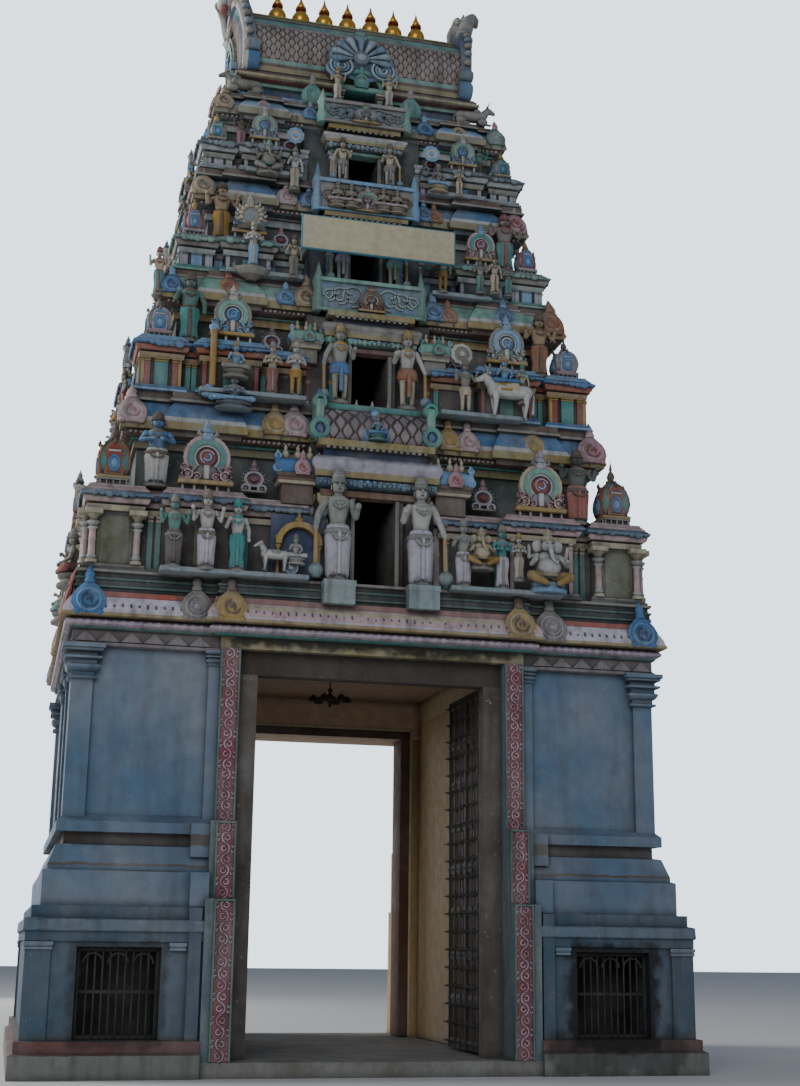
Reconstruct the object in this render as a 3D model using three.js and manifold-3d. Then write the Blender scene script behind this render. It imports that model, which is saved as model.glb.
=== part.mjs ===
// A South Indian gateway tower (gopuram): a moulded base with a gate passage, four hollow
// storeys that step back, a neck and a barrel roof with seven finials.
// Millimetres, +Z up, the front towards -Y, the origin at the middle of the footprint.
import * as THREE from 'three';
import { mergeVertices } from 'three/addons/utils/BufferGeometryUtils.js';
import Module from 'manifold-3d';

const wasm = await Module();
wasm.setup();

// Joint between touching pieces
const GAP = 0.3;
const SEAT = 0.35;

// Base: heights of the main courses. The base is BASE_LESS less deep than wide, to each side.
const FLOOR_Z = 200;
const PLINTH_TOP = 2170;
const BASE_TOP = 5930;
const CORNICE_TOP = 6790;
const BASE_LESS = 1220;
const FOOT_HALF = 4790;
const LOW_WALL_HALF = 4630;
const TALL_WALL_HALF = 4240;
const SLAB_HALF = 4300;

// Flat piers that stand proud of the walls of the base
const LOW_PIER = { bottom: 400, top: 1750, inner: 4330, proud: 30, depth: 300, sideYs: [-3360, 3060] };
const JAMB_PIER = { inner: 2390, outer: 2560, proud: 60, depth: 300 };
const TALL_PIER = { bottom: 3350, top: 5700, inner: 3990, outer: 4290, proud: 50, depth: 300 };
const CAPITAL = { bottom: 5420, spread: 40 };
const HALF_PIER = { inner: 2250, outer: 2400 };
const GATE_BAYS = [
  { top: 2630, depth: 3420 },
  { top: 3290, depth: 3240 },
];
const GATE_BAY_HEIGHT = 450;

// Middle of the main cornice, over the gate, and the pedestals of the first guardians
const MIDDLE_BAY_HALF = 2300;
const PEDESTAL = { x: 740, half: 250, bottom: 6440, front: 3420, back: 2900 };

// Gate passage
const HALL_HALF = 2050;
const HALL_FRONT = -2700;
const HALL_BACK = 2100;
const FRAME_FRONT = -2950;
const FRAME_HALF = 1680;
const FRAME_HEAD = 5420;
const JAMB_HALF = 1950;
const JAMB_HEAD = 5760;
const BACK_HALF = 1850;
const BACK_HEAD = 5260;
const BACK_FACE = 2650;
const STEP_LAP = 5;
const LINTEL_HALF = 2250;
const LINTEL_FRONT = -3120;
const FLOOR_HALF_DEPTH = 3000;
const JAMB_STEPS = [
  { bottom: FLOOR_Z, top: 2290, outer: 2360, front: -3490 },
  { bottom: 2290, top: 3330, outer: 2310, front: -3330 },
  { bottom: 3330, top: JAMB_HEAD, outer: LINTEL_HALF, front: LINTEL_FRONT },
];

// Gate leaves, hung on pivots behind the inner frame
const PIVOT_X = 1795;
const PIVOT_Y = -2630;
const LEAF_THICK = 70;
const LEAF_BOTTOM = 230;
const LEAF_TOP = 5480;
const MEETING_GAP = 5;
const PIVOT_RADIUS = 30;
const PIVOT_SINK = 60;
const PIVOT_SIDES = 16;
const SOCKET_RADIUS = (PIVOT_RADIUS + SEAT) / Math.cos(Math.PI / PIVOT_SIDES);
const SOCKET_DEPTH = 200;
const BRACKET = { half: 90, clear: 6, rise: 130 };
const PIN_RISE = 90;

// Front niches of the plinth
const NICHE = { inner: 2900, outer: 4000, bottom: 480, top: 1650, depth: 1000 };

// Storeys: half width of the band wall, of the recessed wall and of the curved eave,
// the heights of their edges, and the room inside
const TIERS = [
  {
    less: 1180, half: 4230, recess: 3560, eave: 3800, floor: 6790, wall: 7760, ledge: 7950,
    neck: 8930, eaveEdge: 9080, top: 9720, roomHalf: 2900, doorHalf: 310, doorTop: 8160,
    kuta: { x: 3890, size: 620, top: 8970 }, bay: { x: 2560, half: 520, arch: 400, top: 9150 },
    guard: 1720,
  },
  {
    less: 1080, half: 3590, recess: 3030, eave: 3310, floor: 9720, wall: 10270, ledge: 10490,
    neck: 11300, eaveEdge: 11440, top: 11950, roomHalf: 2450, doorHalf: 290, doorTop: 10680,
    kuta: { x: 3310, size: 520, top: 11330 }, bay: { x: 2200, half: 440, arch: 340, top: 11440 },
    guard: 1330,
  },
  {
    less: 1030, half: 3040, recess: 2570, eave: 2830, floor: 11950, wall: 12350, ledge: 12520,
    neck: 13240, eaveEdge: 13380, top: 13900, roomHalf: 2060, doorHalf: 240, doorTop: 12760,
    kuta: { x: 2810, size: 430, top: 13290 }, bay: { x: 1930, half: 360, arch: 290, top: 13370 },
    guard: 1000,
  },
  {
    less: 980, half: 2700, recess: 2300, eave: 2530, floor: 13900, wall: 14250, ledge: 14400,
    neck: 14990, eaveEdge: 15120, top: 15500, roomHalf: 1860, doorHalf: 250, doorTop: 14520,
    kuta: { x: 2490, size: 380, top: 14960 }, bay: { x: 1700, half: 320, arch: 250, top: 15090 },
    guard: 820,
  },
];
const TALLEST_GUARD = 1720;
const PORCH_HALF = 1000;
const PORCH_BACK = 120;
const SALA_HALF = 900;
const SALA_END = 120;

// Neck and roof
const NECK = { bottom: 15500, top: 15960, half: 1990, depth: 1060, doorHalf: 270, wall: 380 };
const NECK_DOOR = { sill: 30, head: 90 };
const NECK_FLOOR = { half: 2340, less: 960 };
const NECK_CORNICE_LESS = 940;
const ROOF_SEAT = 16140;
const VAULT = { half: 1950, radius: 1160, rise: 1150, centre: 16500, shell: 220, crown: 17640 };
const RIDGE = { half: 1950, depth: 330, top: 17750 };
const GABLE = { inner: 1950.3, outer: 2200, tip: 18330 };
const KALASAM = { count: 7, pitch: 433, height: 760, radius: 165 };

// Sign board in front of the third storey
const SIGN = { left: -1180, right: 1330, bottom: 12270, top: 12860, y: -2620, thick: 60 };
const SIGN_ARM = { x: 1060, half: 25, below: 60, thick: 50 };

// Frames that stand a flat outline up and run it along X or along -Y
const AXIS_X = new THREE.Vector3(1, 0, 0);
const AXIS_Y = new THREE.Vector3(0, 1, 0);
const AXIS_Z = new THREE.Vector3(0, 0, 1);
const ALONG_X = new THREE.Matrix4().makeBasis(AXIS_Y, AXIS_Z, AXIS_X);
const ALONG_Y = new THREE.Matrix4().makeBasis(AXIS_X, AXIS_Z, AXIS_Y.clone().negate());

function solid(geometry) {
  const plain = geometry.clone();
  plain.deleteAttribute('normal');
  plain.deleteAttribute('uv');
  const merged = mergeVertices(plain, 1e-3);
  return new wasm.Manifold(new wasm.Mesh({
    numProp: 3,
    vertProperties: new Float32Array(merged.attributes.position.array),
    triVerts: new Uint32Array(merged.index.array),
  }));
}

function geometryOf(manifold) {
  const mesh = manifold.getMesh();
  const geometry = new THREE.BufferGeometry();
  geometry.setAttribute('position', new THREE.BufferAttribute(mesh.vertProperties, 3));
  geometry.setIndex(new THREE.BufferAttribute(mesh.triVerts, 1));
  return geometry;
}

function box(x0, x1, y0, y1, z0, z1) {
  const geometry = new THREE.BoxGeometry(x1 - x0, y1 - y0, z1 - z0);
  geometry.translate((x0 + x1) / 2, (y0 + y1) / 2, (z0 + z1) / 2);
  return solid(geometry);
}

function outline(points) {
  return new THREE.Shape(points.map(([u, v]) => new THREE.Vector2(u, v)));
}

function runX(points, x0, x1) {
  const geometry = new THREE.ExtrudeGeometry(outline(points), { depth: x1 - x0, bevelEnabled: false });
  geometry.applyMatrix4(ALONG_X);
  geometry.translate(x0, 0, 0);
  return solid(geometry);
}

function runY(points, y0, y1) {
  const geometry = new THREE.ExtrudeGeometry(outline(points), { depth: y1 - y0, bevelEnabled: false });
  geometry.applyMatrix4(ALONG_Y);
  geometry.translate(0, y1, 0);
  return solid(geometry);
}

function turned(profile, sides, x, y, z) {
  const geometry = new THREE.LatheGeometry(profile.map(([r, h]) => new THREE.Vector2(r, h)), sides);
  geometry.rotateX(Math.PI / 2);
  geometry.rotateZ(Math.PI / sides);
  geometry.translate(x, y, z);
  return solid(geometry);
}

function join(parts) {
  return parts.reduce((whole, part) => whole.add(part));
}

function cut(body, tools) {
  return tools.reduce((rest, tool) => rest.subtract(tool), body);
}

// A block with the same mouldings on its front, back and outer side, mitred at the corners.
// The profile gives [half width, height]; the half depth is `less` smaller.
function mouldedBlock(profile, less, innerX) {
  const side = [[innerX, profile[0][1]], ...profile, [innerX, profile[profile.length - 1][1]]];
  const deep = profile.map(([half, z]) => [half - less, z]);
  const front = [...deep, ...deep.map(([y, z]) => [-y, z]).reverse()];
  const reach = Math.max(...profile.map(([half]) => half)) + 10;
  return runX(front, innerX - 5, reach).intersect(runY(side, -reach, reach));
}

// Both sides of a moulded slab
function mouldedSlab(profile, less) {
  const side = [...profile, ...profile.map(([x, z]) => [-x, z]).reverse()];
  const deep = profile.map(([half, z]) => [half - less, z]);
  const front = [...deep, ...deep.map(([y, z]) => [-y, z]).reverse()];
  const reach = Math.max(...profile.map(([half]) => half)) + 10;
  return runX(front, -reach, reach).intersect(runY(side, -reach, reach));
}

// Horseshoe arch with a pointed tip, as [across, height] around the centre line
function archOutline(half, bottom, top, centre) {
  const waist = half * 0.8;
  const points = [[-waist, bottom], [waist, bottom]];
  const steps = 5;
  const rise = (top - bottom) * 0.62;
  for (let i = 0; i <= steps; i += 1) {
    const angle = -0.35 + (i / steps) * 1.45;
    points.push([half * Math.cos(angle), bottom + rise * 0.45 + rise * 0.5 * Math.sin(angle)]);
  }
  points.push([half * 0.2, bottom + rise * 1.1], [0, top]);
  const left = points.slice(2, -1).map(([u, v]) => [-u, v]).reverse();
  return [...points, ...left].map(([u, v]) => [centre + u, v]);
}

function kutaDome(x, y, size, bottom, top) {
  const r = size / 2;
  const h = top - bottom;
  const neck = box(x - r * 0.8, x + r * 0.8, y - r * 0.8, y + r * 0.8, bottom - 60, bottom + h * 0.3);
  const dome = turned([
    [0, 0], [r * 1.08, 0], [r * 1.15, h * 0.12], [r * 1.02, h * 0.27],
    [r * 0.62, h * 0.42], [r * 0.16, h * 0.5], [r * 0.2, h * 0.58], [0, h * 0.75],
  ], 8, x, y, bottom + h * 0.25);
  return neck.add(dome);
}

function guardian(x, y, bottom, height) {
  const k = height / TALLEST_GUARD;
  return turned([
    [0, -60], [190 * k, -60], [190 * k, 60 * k], [170 * k, 420 * k], [230 * k, 780 * k], [170 * k, 980 * k],
    [270 * k, 1260 * k], [90 * k, 1370 * k], [130 * k, 1480 * k], [120 * k, 1580 * k], [0, 1720 * k],
  ], 6, x, y, bottom);
}

function mesh(name, manifold, colour, roughness = 0.85, metalness = 0) {
  const material = new THREE.MeshStandardMaterial({ color: colour, roughness, metalness });
  const piece = new THREE.Mesh(geometryOf(manifold), material);
  piece.name = name;
  return piece;
}

function mirrored(name, manifold, colour, roughness, metalness) {
  const piece = mesh(name, manifold, colour, roughness, metalness);
  piece.scale.x = -1;
  return piece;
}

const SLATE = 0x4d6377;
const CREAM = 0xcdbf9c;
const STUCCO = 0x9c9384;
const TEAL = 0x4f8c86;
const RED = 0x9d4238;
const YELLOW = 0xb79b58;
const DARK_WOOD = 0x2f2822;
const GOLD = 0xd8a53a;

const gopuram = new THREE.Group();

// Foot, low wall and low cornice
function buildPlinth() {
  const top = PLINTH_TOP - GAP;
  const profile = [
    [FOOT_HALF, 0], [FOOT_HALF, 300], [4730, 330], [4730, 470], [LOW_WALL_HALF, 485],
    [LOW_WALL_HALF, 1700], [4670, 1720], [4670, 1830], [4700, 1850], [4690, 2000], [4610, 2020], [4610, top],
  ];
  const front = BASE_LESS - LOW_WALL_HALF;
  const mouth = front - 400;
  const niche = box(NICHE.inner, NICHE.outer, mouth, front + NICHE.depth, NICHE.bottom, NICHE.top);
  const { bottom, inner, proud, depth, sideYs } = LOW_PIER;
  const outer = LOW_WALL_HALF + proud;
  const cornerPier = box(inner, outer, front - proud, front + depth, bottom, LOW_PIER.top);
  const jamb = JAMB_PIER;
  const jambPier = box(jamb.inner, jamb.outer, front - jamb.proud, front + jamb.depth, 0, top);
  const sidePiers = sideYs.map((y) => box(inner, outer, y, y + depth, bottom, LOW_PIER.top));
  const body = join([mouldedBlock(profile, BASE_LESS, HALL_HALF), cornerPier, jambPier, ...sidePiers]);
  return cut(body, [niche, ...jambNotches()]);
}

// Band, bevelled course, recess, slab and the tall wall
function buildBaseWall() {
  const top = BASE_TOP - GAP;
  const profile = [
    [4500, PLINTH_TOP], [4500, 2630], [4440, 2650], [4440, 2710], [4350, 2970], [4250, 2990],
    [4250, 3140], [4360, 3150], [4360, 3290], [TALL_WALL_HALF, 3400], [TALL_WALL_HALF, 5690],
    [4290, 5710], [4290, top],
  ];
  const face = TALL_WALL_HALF - BASE_LESS;
  const { inner, outer, proud, depth } = TALL_PIER;
  const piers = [-1, 1].flatMap((side) => {
    const [near, far] = [side * (face + proud), side * (face + proud - depth)].sort((p, q) => p - q);
    const spread = CAPITAL.spread;
    return [
      box(inner, outer, near, far, TALL_PIER.bottom, TALL_PIER.top),
      box(inner - spread, outer + spread, near - spread, far + spread, CAPITAL.bottom, TALL_PIER.top),
      box(HALF_PIER.inner, HALF_PIER.outer, near, far, TALL_PIER.bottom, TALL_PIER.top),
    ];
  });
  const bays = GATE_BAYS.map((bay) => box(
    HALF_PIER.inner, JAMB_PIER.outer, -bay.depth, bay.depth, bay.top - GATE_BAY_HEIGHT, bay.top,
  ));
  const body = join([mouldedBlock(profile, BASE_LESS, HALL_HALF), ...piers, ...bays]);
  const trimmed = body.intersect(box(HALL_HALF, FOOT_HALF, -FOOT_HALF, FOOT_HALF, PLINTH_TOP, top));
  return cut(trimmed, jambNotches());
}

// The three stepped blocks of a jamb on the front (-1) or the back (1) of the passage
function jambBlocks(face, inner) {
  return JAMB_STEPS.map((step) => {
    const wall = face < 0 ? FRAME_FRONT : BACK_FACE;
    const [y0, y1] = [wall, -face * step.front].sort((a, b) => a - b);
    const bottom = step.bottom > FLOOR_Z ? step.bottom : FLOOR_Z + GAP;
    const top = step.top < JAMB_HEAD ? step.top : JAMB_HEAD - GAP;
    return box(inner, step.outer, y0, y1, bottom, top);
  });
}

// Room for the jambs and the lintels, cut from the piers
function jambNotches() {
  const faces = [[-4000, FRAME_FRONT + GAP], [BACK_FACE - GAP, 4000]];
  return faces.flatMap(([y0, y1]) => [
    ...JAMB_STEPS.map((step, i) => box(
      0, step.outer + GAP, y0, y1, i === 0 ? -10 : step.bottom, step.top + GAP,
    )),
    box(0, JAMB_STEPS[2].outer + GAP, y0, y1, JAMB_HEAD, BASE_TOP + 10),
  ]);
}

// A leaf drawn shut about its own pivot, reaching from it towards -X
function buildLeaf() {
  const height = LEAF_TOP - LEAF_BOTTOM;
  const half = LEAF_THICK / 2;
  const panel = box(MEETING_GAP - PIVOT_X, 0, -half, half, LEAF_BOTTOM, LEAF_TOP);
  const stile = turned([[0, 0], [half, 0], [half, height], [0, height]], PIVOT_SIDES, 0, 0, LEAF_BOTTOM);
  const pinHeight = height + PIVOT_SINK + PIN_RISE;
  const pin = turned([[0, 0], [PIVOT_RADIUS, 0], [PIVOT_RADIUS, pinHeight], [0, pinHeight]],
    PIVOT_SIDES, 0, 0, LEAF_BOTTOM - PIVOT_SINK);
  return join([panel, stile, pin]);
}

// Round hole for a pivot pin, from its lowest height up
function socket(side, z) {
  return turned([[0, 0], [SOCKET_RADIUS, 0], [SOCKET_RADIUS, SOCKET_DEPTH], [0, SOCKET_DEPTH]],
    PIVOT_SIDES, side * PIVOT_X, PIVOT_Y, z);
}

for (const [suffix, add] of [['right', mesh], ['left', mirrored]]) {
  gopuram.add(add(`plinth_${suffix}`, buildPlinth(), SLATE));
  gopuram.add(add(`base_wall_${suffix}`, buildBaseWall(), SLATE));
  gopuram.add(add(`jamb_${suffix}`, join(jambBlocks(-1, JAMB_HALF)), RED));
  gopuram.add(add(`door_post_${suffix}`, box(
    FRAME_HALF, HALL_HALF - GAP, FRAME_FRONT + GAP, HALL_FRONT, FLOOR_Z + GAP, FRAME_HEAD - GAP,
  ), STUCCO));
  const backReturn = box(BACK_HALF, HALL_HALF - GAP, HALL_BACK, BACK_FACE + STEP_LAP,
    FLOOR_Z + GAP, BACK_HEAD - GAP);
  const belowHead = box(0, FOOT_HALF, 0, FOOT_HALF, 0, BACK_HEAD - GAP);
  const backJamb = join(jambBlocks(1, BACK_HALF)).intersect(belowHead);
  gopuram.add(add(`back_jamb_${suffix}`, backJamb.add(backReturn), CREAM));
}

// Both leaves stand open, turned a quarter about their pivots
for (const [suffix, side, add] of [['right', 1, mesh], ['left', -1, mirrored]]) {
  const hinge = new THREE.Group();
  hinge.position.set(side * PIVOT_X, PIVOT_Y, 0);
  hinge.rotation.z = -side * Math.PI / 2;
  hinge.add(add(`gate_leaf_${suffix}`, buildLeaf(), DARK_WOOD, 0.8));
  gopuram.add(hinge);
}

gopuram.add(mesh('front_lintel', box(
  -LINTEL_HALF, LINTEL_HALF, LINTEL_FRONT, FRAME_FRONT, JAMB_HEAD, BASE_TOP - GAP,
), YELLOW));

// The inner lintel carries the two upper pivot brackets
function buildDoorLintel() {
  const beam = box(-HALL_HALF + GAP, HALL_HALF - GAP, FRAME_FRONT + GAP, HALL_FRONT,
    FRAME_HEAD, BASE_TOP - GAP);
  const { half, clear, rise } = BRACKET;
  const brackets = [-1, 1].map((side) => {
    const x = side * PIVOT_X;
    const arm = box(x - half, x + half, HALL_FRONT - STEP_LAP, PIVOT_Y + half,
      LEAF_TOP + clear, LEAF_TOP + rise);
    return arm.subtract(socket(side, LEAF_TOP - clear));
  });
  return join([beam, ...brackets]);
}
gopuram.add(mesh('door_lintel', buildDoorLintel(), STUCCO));

const backBeam = box(-LINTEL_HALF, LINTEL_HALF, BACK_FACE, -LINTEL_FRONT, BACK_HEAD, BASE_TOP - GAP);
const backWall = box(-HALL_HALF + GAP, HALL_HALF - GAP, HALL_BACK, BACK_FACE + STEP_LAP,
  BACK_HEAD, BASE_TOP - GAP);
gopuram.add(mesh('back_lintel', backBeam.add(backWall), CREAM));

function buildFloor() {
  const slab = box(-HALL_HALF + GAP, HALL_HALF - GAP, -FLOOR_HALF_DEPTH, FLOOR_HALF_DEPTH, 0, FLOOR_Z);
  const { outer, front } = JAMB_STEPS[0];
  const steps = [[front, FRAME_FRONT], [BACK_FACE, -front]]
    .map(([y0, y1]) => box(-outer, outer, y0, y1, 0, FLOOR_Z));
  const sockets = [-1, 1].map((side) => socket(side, LEAF_BOTTOM - PIVOT_SINK - SEAT));
  return cut(join([slab, ...steps]), sockets);
}
gopuram.add(mesh('passage_floor', buildFloor(), STUCCO));

// Frieze, roll, curved eave and the slab under the first storey
function buildMainCornice() {
  const top = CORNICE_TOP - GAP;
  const profile = [
    [4310, BASE_TOP], [4365, 5945], [4380, 5985], [4350, 6030], [4350, 6060], [4490, 6100],
    [4490, 6140], [4450, 6280], [4340, 6440], [SLAB_HALF, 6450], [SLAB_HALF, 6600], [4270, 6610],
    [4270, top],
  ];
  const bayFront = [
    [-3150, BASE_TOP], [-3230, 5985], [-3190, 6060], [-3390, 6100], [-3390, 6150], [-3340, 6300],
    [-3250, PEDESTAL.bottom], [-3250, top],
  ];
  const bay = [...bayFront, ...bayFront.map(([y, z]) => [-y, z]).reverse()].reverse();
  const { x, half, bottom, front, back } = PEDESTAL;
  const pedestals = [-1, 1].flatMap((side) => [[-front, -back], [back, front]].map(([y0, y1]) => box(
    side * x - half, side * x + half, y0, y1, bottom, top,
  )));
  return join([mouldedSlab(profile, BASE_LESS), runX(bay, -MIDDLE_BAY_HALF, MIDDLE_BAY_HALF), ...pedestals]);
}
gopuram.add(mesh('main_cornice', buildMainCornice(), CREAM));

// Outer wall of one storey, right half: band wall, ledge, recessed wall, bays and corner domes
function buildTierWall(t) {
  const sill = t.half + 40;
  const lip = t.half + 50;
  const nose = t.half + 90;
  const profile = [
    [sill, t.floor], [sill, t.floor + 80], [t.half, t.floor + 95], [t.half, t.wall - 80],
    [lip, t.wall - 65], [lip, t.wall], [nose, t.wall + 25], [nose - 20, t.ledge - 40],
    [t.half - 20, t.ledge], [t.recess, t.ledge + 5], [t.recess, t.neck - GAP],
  ];
  const { x, half, arch, top } = t.bay;
  const archFoot = t.ledge - 20;
  const behind = t.recess - 50;
  const parts = [mouldedBlock(profile, t.less, PORCH_HALF)];
  for (const face of [-1, 1]) {
    const y = face * (t.kuta.x - t.less);
    parts.push(kutaDome(t.kuta.x, y, t.kuta.size, t.ledge, t.kuta.top));
    const [y0, y1] = [face * (nose - t.less), face * (behind - t.less)].sort((p, q) => p - q);
    parts.push(box(x - half, x + half, y0, y1, t.floor, t.ledge));
    parts.push(runY(archOutline(arch, archFoot, top, x), y0, y1));
  }
  parts.push(box(behind, nose, -half, half, t.floor, t.ledge));
  parts.push(runX(archOutline(arch, archFoot, top, 0), behind, nose - 30));
  const roomDepth = t.roomHalf - t.less;
  const room = box(0, t.roomHalf, -roomDepth, roomDepth, t.floor - 10, t.neck + 10);
  const eaveDepth = t.eave - t.less + GAP;
  const underEave = box(0, t.eave + GAP, -eaveDepth, eaveDepth, t.neck - GAP, t.top);
  const keep = box(PORCH_HALF, FOOT_HALF, -FOOT_HALF, FOOT_HALF, t.floor, t.top);
  return cut(join(parts).intersect(keep), [room, underEave]);
}

// Middle bay of a storey with its doorway, lintel and valance, and a guardian on each side
function buildPorch(t) {
  const wallDepth = t.recess - t.less;
  const roomDepth = t.roomHalf - t.less;
  const front = t.half - t.less - PORCH_BACK;
  const x1 = PORCH_HALF - GAP;
  const body = box(-x1, x1, -front, -roomDepth, t.floor, t.neck - GAP);
  const door = box(-t.doorHalf, t.doorHalf, -FOOT_HALF, 0, t.floor - 10, t.doorTop);
  const above = t.doorTop + 60;
  const rise = t.neck - t.doorTop;
  const beam = box(-x1, x1, -front - 90, -wallDepth, above, above + rise * 0.3);
  const valance = box(-x1, x1, -front - 140, -wallDepth, above + rise * 0.45, above + rise * 0.7);
  const scale = t.guard / TALLEST_GUARD;
  const places = [-1, 1].map((side) => side * (t.doorHalf + 430 * scale));
  const guards = places.map((x) => guardian(x, -front - 130 * scale, t.floor + 60, t.guard));
  const feet = places.map((x) => box(x - 200, x + 200, -front - 260, -front + 20, t.floor, t.floor + 70));
  const porch = join([cut(join([body, beam, valance]), [door]), ...guards, ...feet]);
  return porch.intersect(box(-FOOT_HALF, FOOT_HALF, -FOOT_HALF, 0, t.floor, t.top));
}

// Curved eave and upper floor of a storey, with a short vault over the middle bay, front and back
function buildTierCornice(t, next) {
  const floorHalf = next.half + 70;
  const lip = t.eaveEdge + 50;
  const profile = [
    [t.recess + 40, t.neck], [t.eave - 110, t.neck + 30], [t.eave, t.eaveEdge], [t.eave, lip],
    [t.eave - 50, lip + 120], [floorHalf, lip + 280], [floorHalf, t.top - GAP],
  ];
  const parts = [mouldedSlab(profile, t.less)];
  const low = t.neck + 10;
  const crown = t.top - 1;
  const springing = { y: t.eave - t.less - 90, z: low + 130, swell: 260 };
  const vault = [[0, low]];
  const steps = 6;
  for (let i = 0; i <= steps; i += 1) {
    const angle = -0.3 + (i / steps) * (Math.PI / 2 + 0.2);
    const rise = Math.max(0, Math.sin(angle)) * (crown - springing.z);
    vault.push([springing.y + springing.swell * Math.cos(angle), springing.z + rise]);
  }
  vault.push([0, crown]);
  const endReach = springing.y + springing.swell + 60;
  for (const face of [-1, 1]) {
    const points = vault.map(([y, z]) => [face * y, z]);
    parts.push(runX(face > 0 ? points : points.reverse(), -SALA_HALF, SALA_HALF));
    const [y0, y1] = [0, face * endReach].sort((p, q) => p - q);
    const ends = [-SALA_HALF + 10 - SALA_END, SALA_HALF - 10];
    parts.push(...ends.map((x) => box(x, x + SALA_END, y0, y1, low, t.top - 20)));
  }
  return join(parts);
}

TIERS.forEach((tier, index) => {
  const name = `tier${index + 1}`;
  const next = TIERS[index + 1] ?? NECK_FLOOR;
  const wall = buildTierWall(tier);
  gopuram.add(mesh(`${name}_wall_right`, wall, STUCCO));
  gopuram.add(mirrored(`${name}_wall_left`, wall, STUCCO));
  const porch = buildPorch(tier);
  gopuram.add(mesh(`${name}_porch_front`, porch, CREAM));
  const back = mesh(`${name}_porch_back`, porch, CREAM);
  back.rotation.z = Math.PI;
  gopuram.add(back);
  gopuram.add(mesh(`${name}_cornice`, buildTierCornice(tier, next), TEAL));
});

// Neck: a low hollow storey with an opening front and back
function buildNeck() {
  const outer = box(-NECK.half, NECK.half, -NECK.depth, NECK.depth, NECK.bottom, NECK.top - GAP);
  const inner = box(-NECK.half + NECK.wall, NECK.half - NECK.wall, -NECK.depth + NECK.wall,
    NECK.depth - NECK.wall, NECK.bottom - 10, NECK.top + 10);
  const door = box(-NECK.doorHalf, NECK.doorHalf, -FOOT_HALF, FOOT_HALF,
    NECK.bottom + NECK_DOOR.sill, NECK.top - NECK_DOOR.head);
  return cut(outer, [inner, door]);
}
gopuram.add(mesh('neck_storey', buildNeck(), TEAL));

const neckProfile = [
  [2080, NECK.top], [2150, 15990], [2150, 16060], [2100, 16090], [2100, ROOF_SEAT - GAP],
];
gopuram.add(mesh('neck_cornice', mouldedSlab(neckProfile, NECK_CORNICE_LESS), YELLOW));

function vaultOutline(inset) {
  const points = [];
  const steps = 9;
  const start = -0.3;
  for (let i = 0; i <= steps; i += 1) {
    const angle = start + (i / steps) * (Math.PI - 2 * start);
    points.push([
      (VAULT.radius - inset) * Math.cos(angle),
      Math.min(VAULT.centre + (VAULT.rise - inset) * Math.sin(angle), VAULT.crown - inset),
    ]);
  }
  const foot = inset > 0 ? ROOF_SEAT - 10 : ROOF_SEAT;
  return [[-points[0][0], foot], [points[0][0], foot], ...points];
}
const vaultShell = runX(vaultOutline(0), -VAULT.half, VAULT.half)
  .subtract(runX(vaultOutline(VAULT.shell), -VAULT.half - 5, VAULT.half + 5));
gopuram.add(mesh('barrel_roof', vaultShell, RED));

gopuram.add(mesh('ridge_beam', box(
  -RIDGE.half, RIDGE.half, -RIDGE.depth, RIDGE.depth, VAULT.crown + GAP, RIDGE.top,
), TEAL));

function buildGable() {
  const face = [
    [-1180, ROOF_SEAT], [1180, ROOF_SEAT], [1330, 16500], [1300, 16950], [1120, 17350], [860, 17640],
    [520, 17900], [430, 18150], [250, GABLE.tip], [200, 18100], [0, 17980],
    [-200, 18100], [-250, GABLE.tip], [-430, 18150], [-520, 17900],
    [-860, 17640], [-1120, 17350], [-1300, 16950], [-1330, 16500],
  ];
  return runX(face, GABLE.inner, GABLE.outer);
}
gopuram.add(mesh('gable_right', buildGable(), CREAM));
gopuram.add(mirrored('gable_left', buildGable(), CREAM));

const kalasamProfile = [
  [0, 0], [0.62, 0], [0.35, 0.07], [0.4, 0.12], [0.86, 0.2], [1, 0.32], [0.86, 0.45], [0.4, 0.53],
  [0.62, 0.58], [0.66, 0.63], [0.36, 0.68], [0.4, 0.73], [0.14, 0.85], [0, 1],
];
for (let i = 0; i < KALASAM.count; i += 1) {
  const x = (i - (KALASAM.count - 1) / 2) * KALASAM.pitch;
  const profile = kalasamProfile.map(([r, h]) => [r * KALASAM.radius, h * KALASAM.height]);
  gopuram.add(mesh(`kalasam_${i + 1}`, turned(profile, 8, x, 0, RIDGE.top + GAP), GOLD, 0.35, 0.8));
}

// Sign board on two arms that reach back to the wall of the third storey
function buildSign() {
  const board = box(SIGN.left, SIGN.right, SIGN.y, SIGN.y + SIGN.thick, SIGN.bottom, SIGN.top);
  const storey = TIERS[2];
  const wallFace = storey.less - storey.half - 50;
  const { half, below, thick } = SIGN_ARM;
  const arms = [-SIGN_ARM.x, SIGN_ARM.x].map((x) => box(
    x - half, x + half, SIGN.y + 10, wallFace - GAP, storey.wall - below, storey.wall - below + thick,
  ));
  return join([board, ...arms]);
}
gopuram.add(mesh('sign_board', buildSign(), CREAM));

export default gopuram;
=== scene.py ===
import random
from functools import cache
from math import atan2, copysign, cos, pi, radians, sin, tau
from types import SimpleNamespace

import bmesh
import bpy
from mathutils import Matrix, Vector


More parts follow.
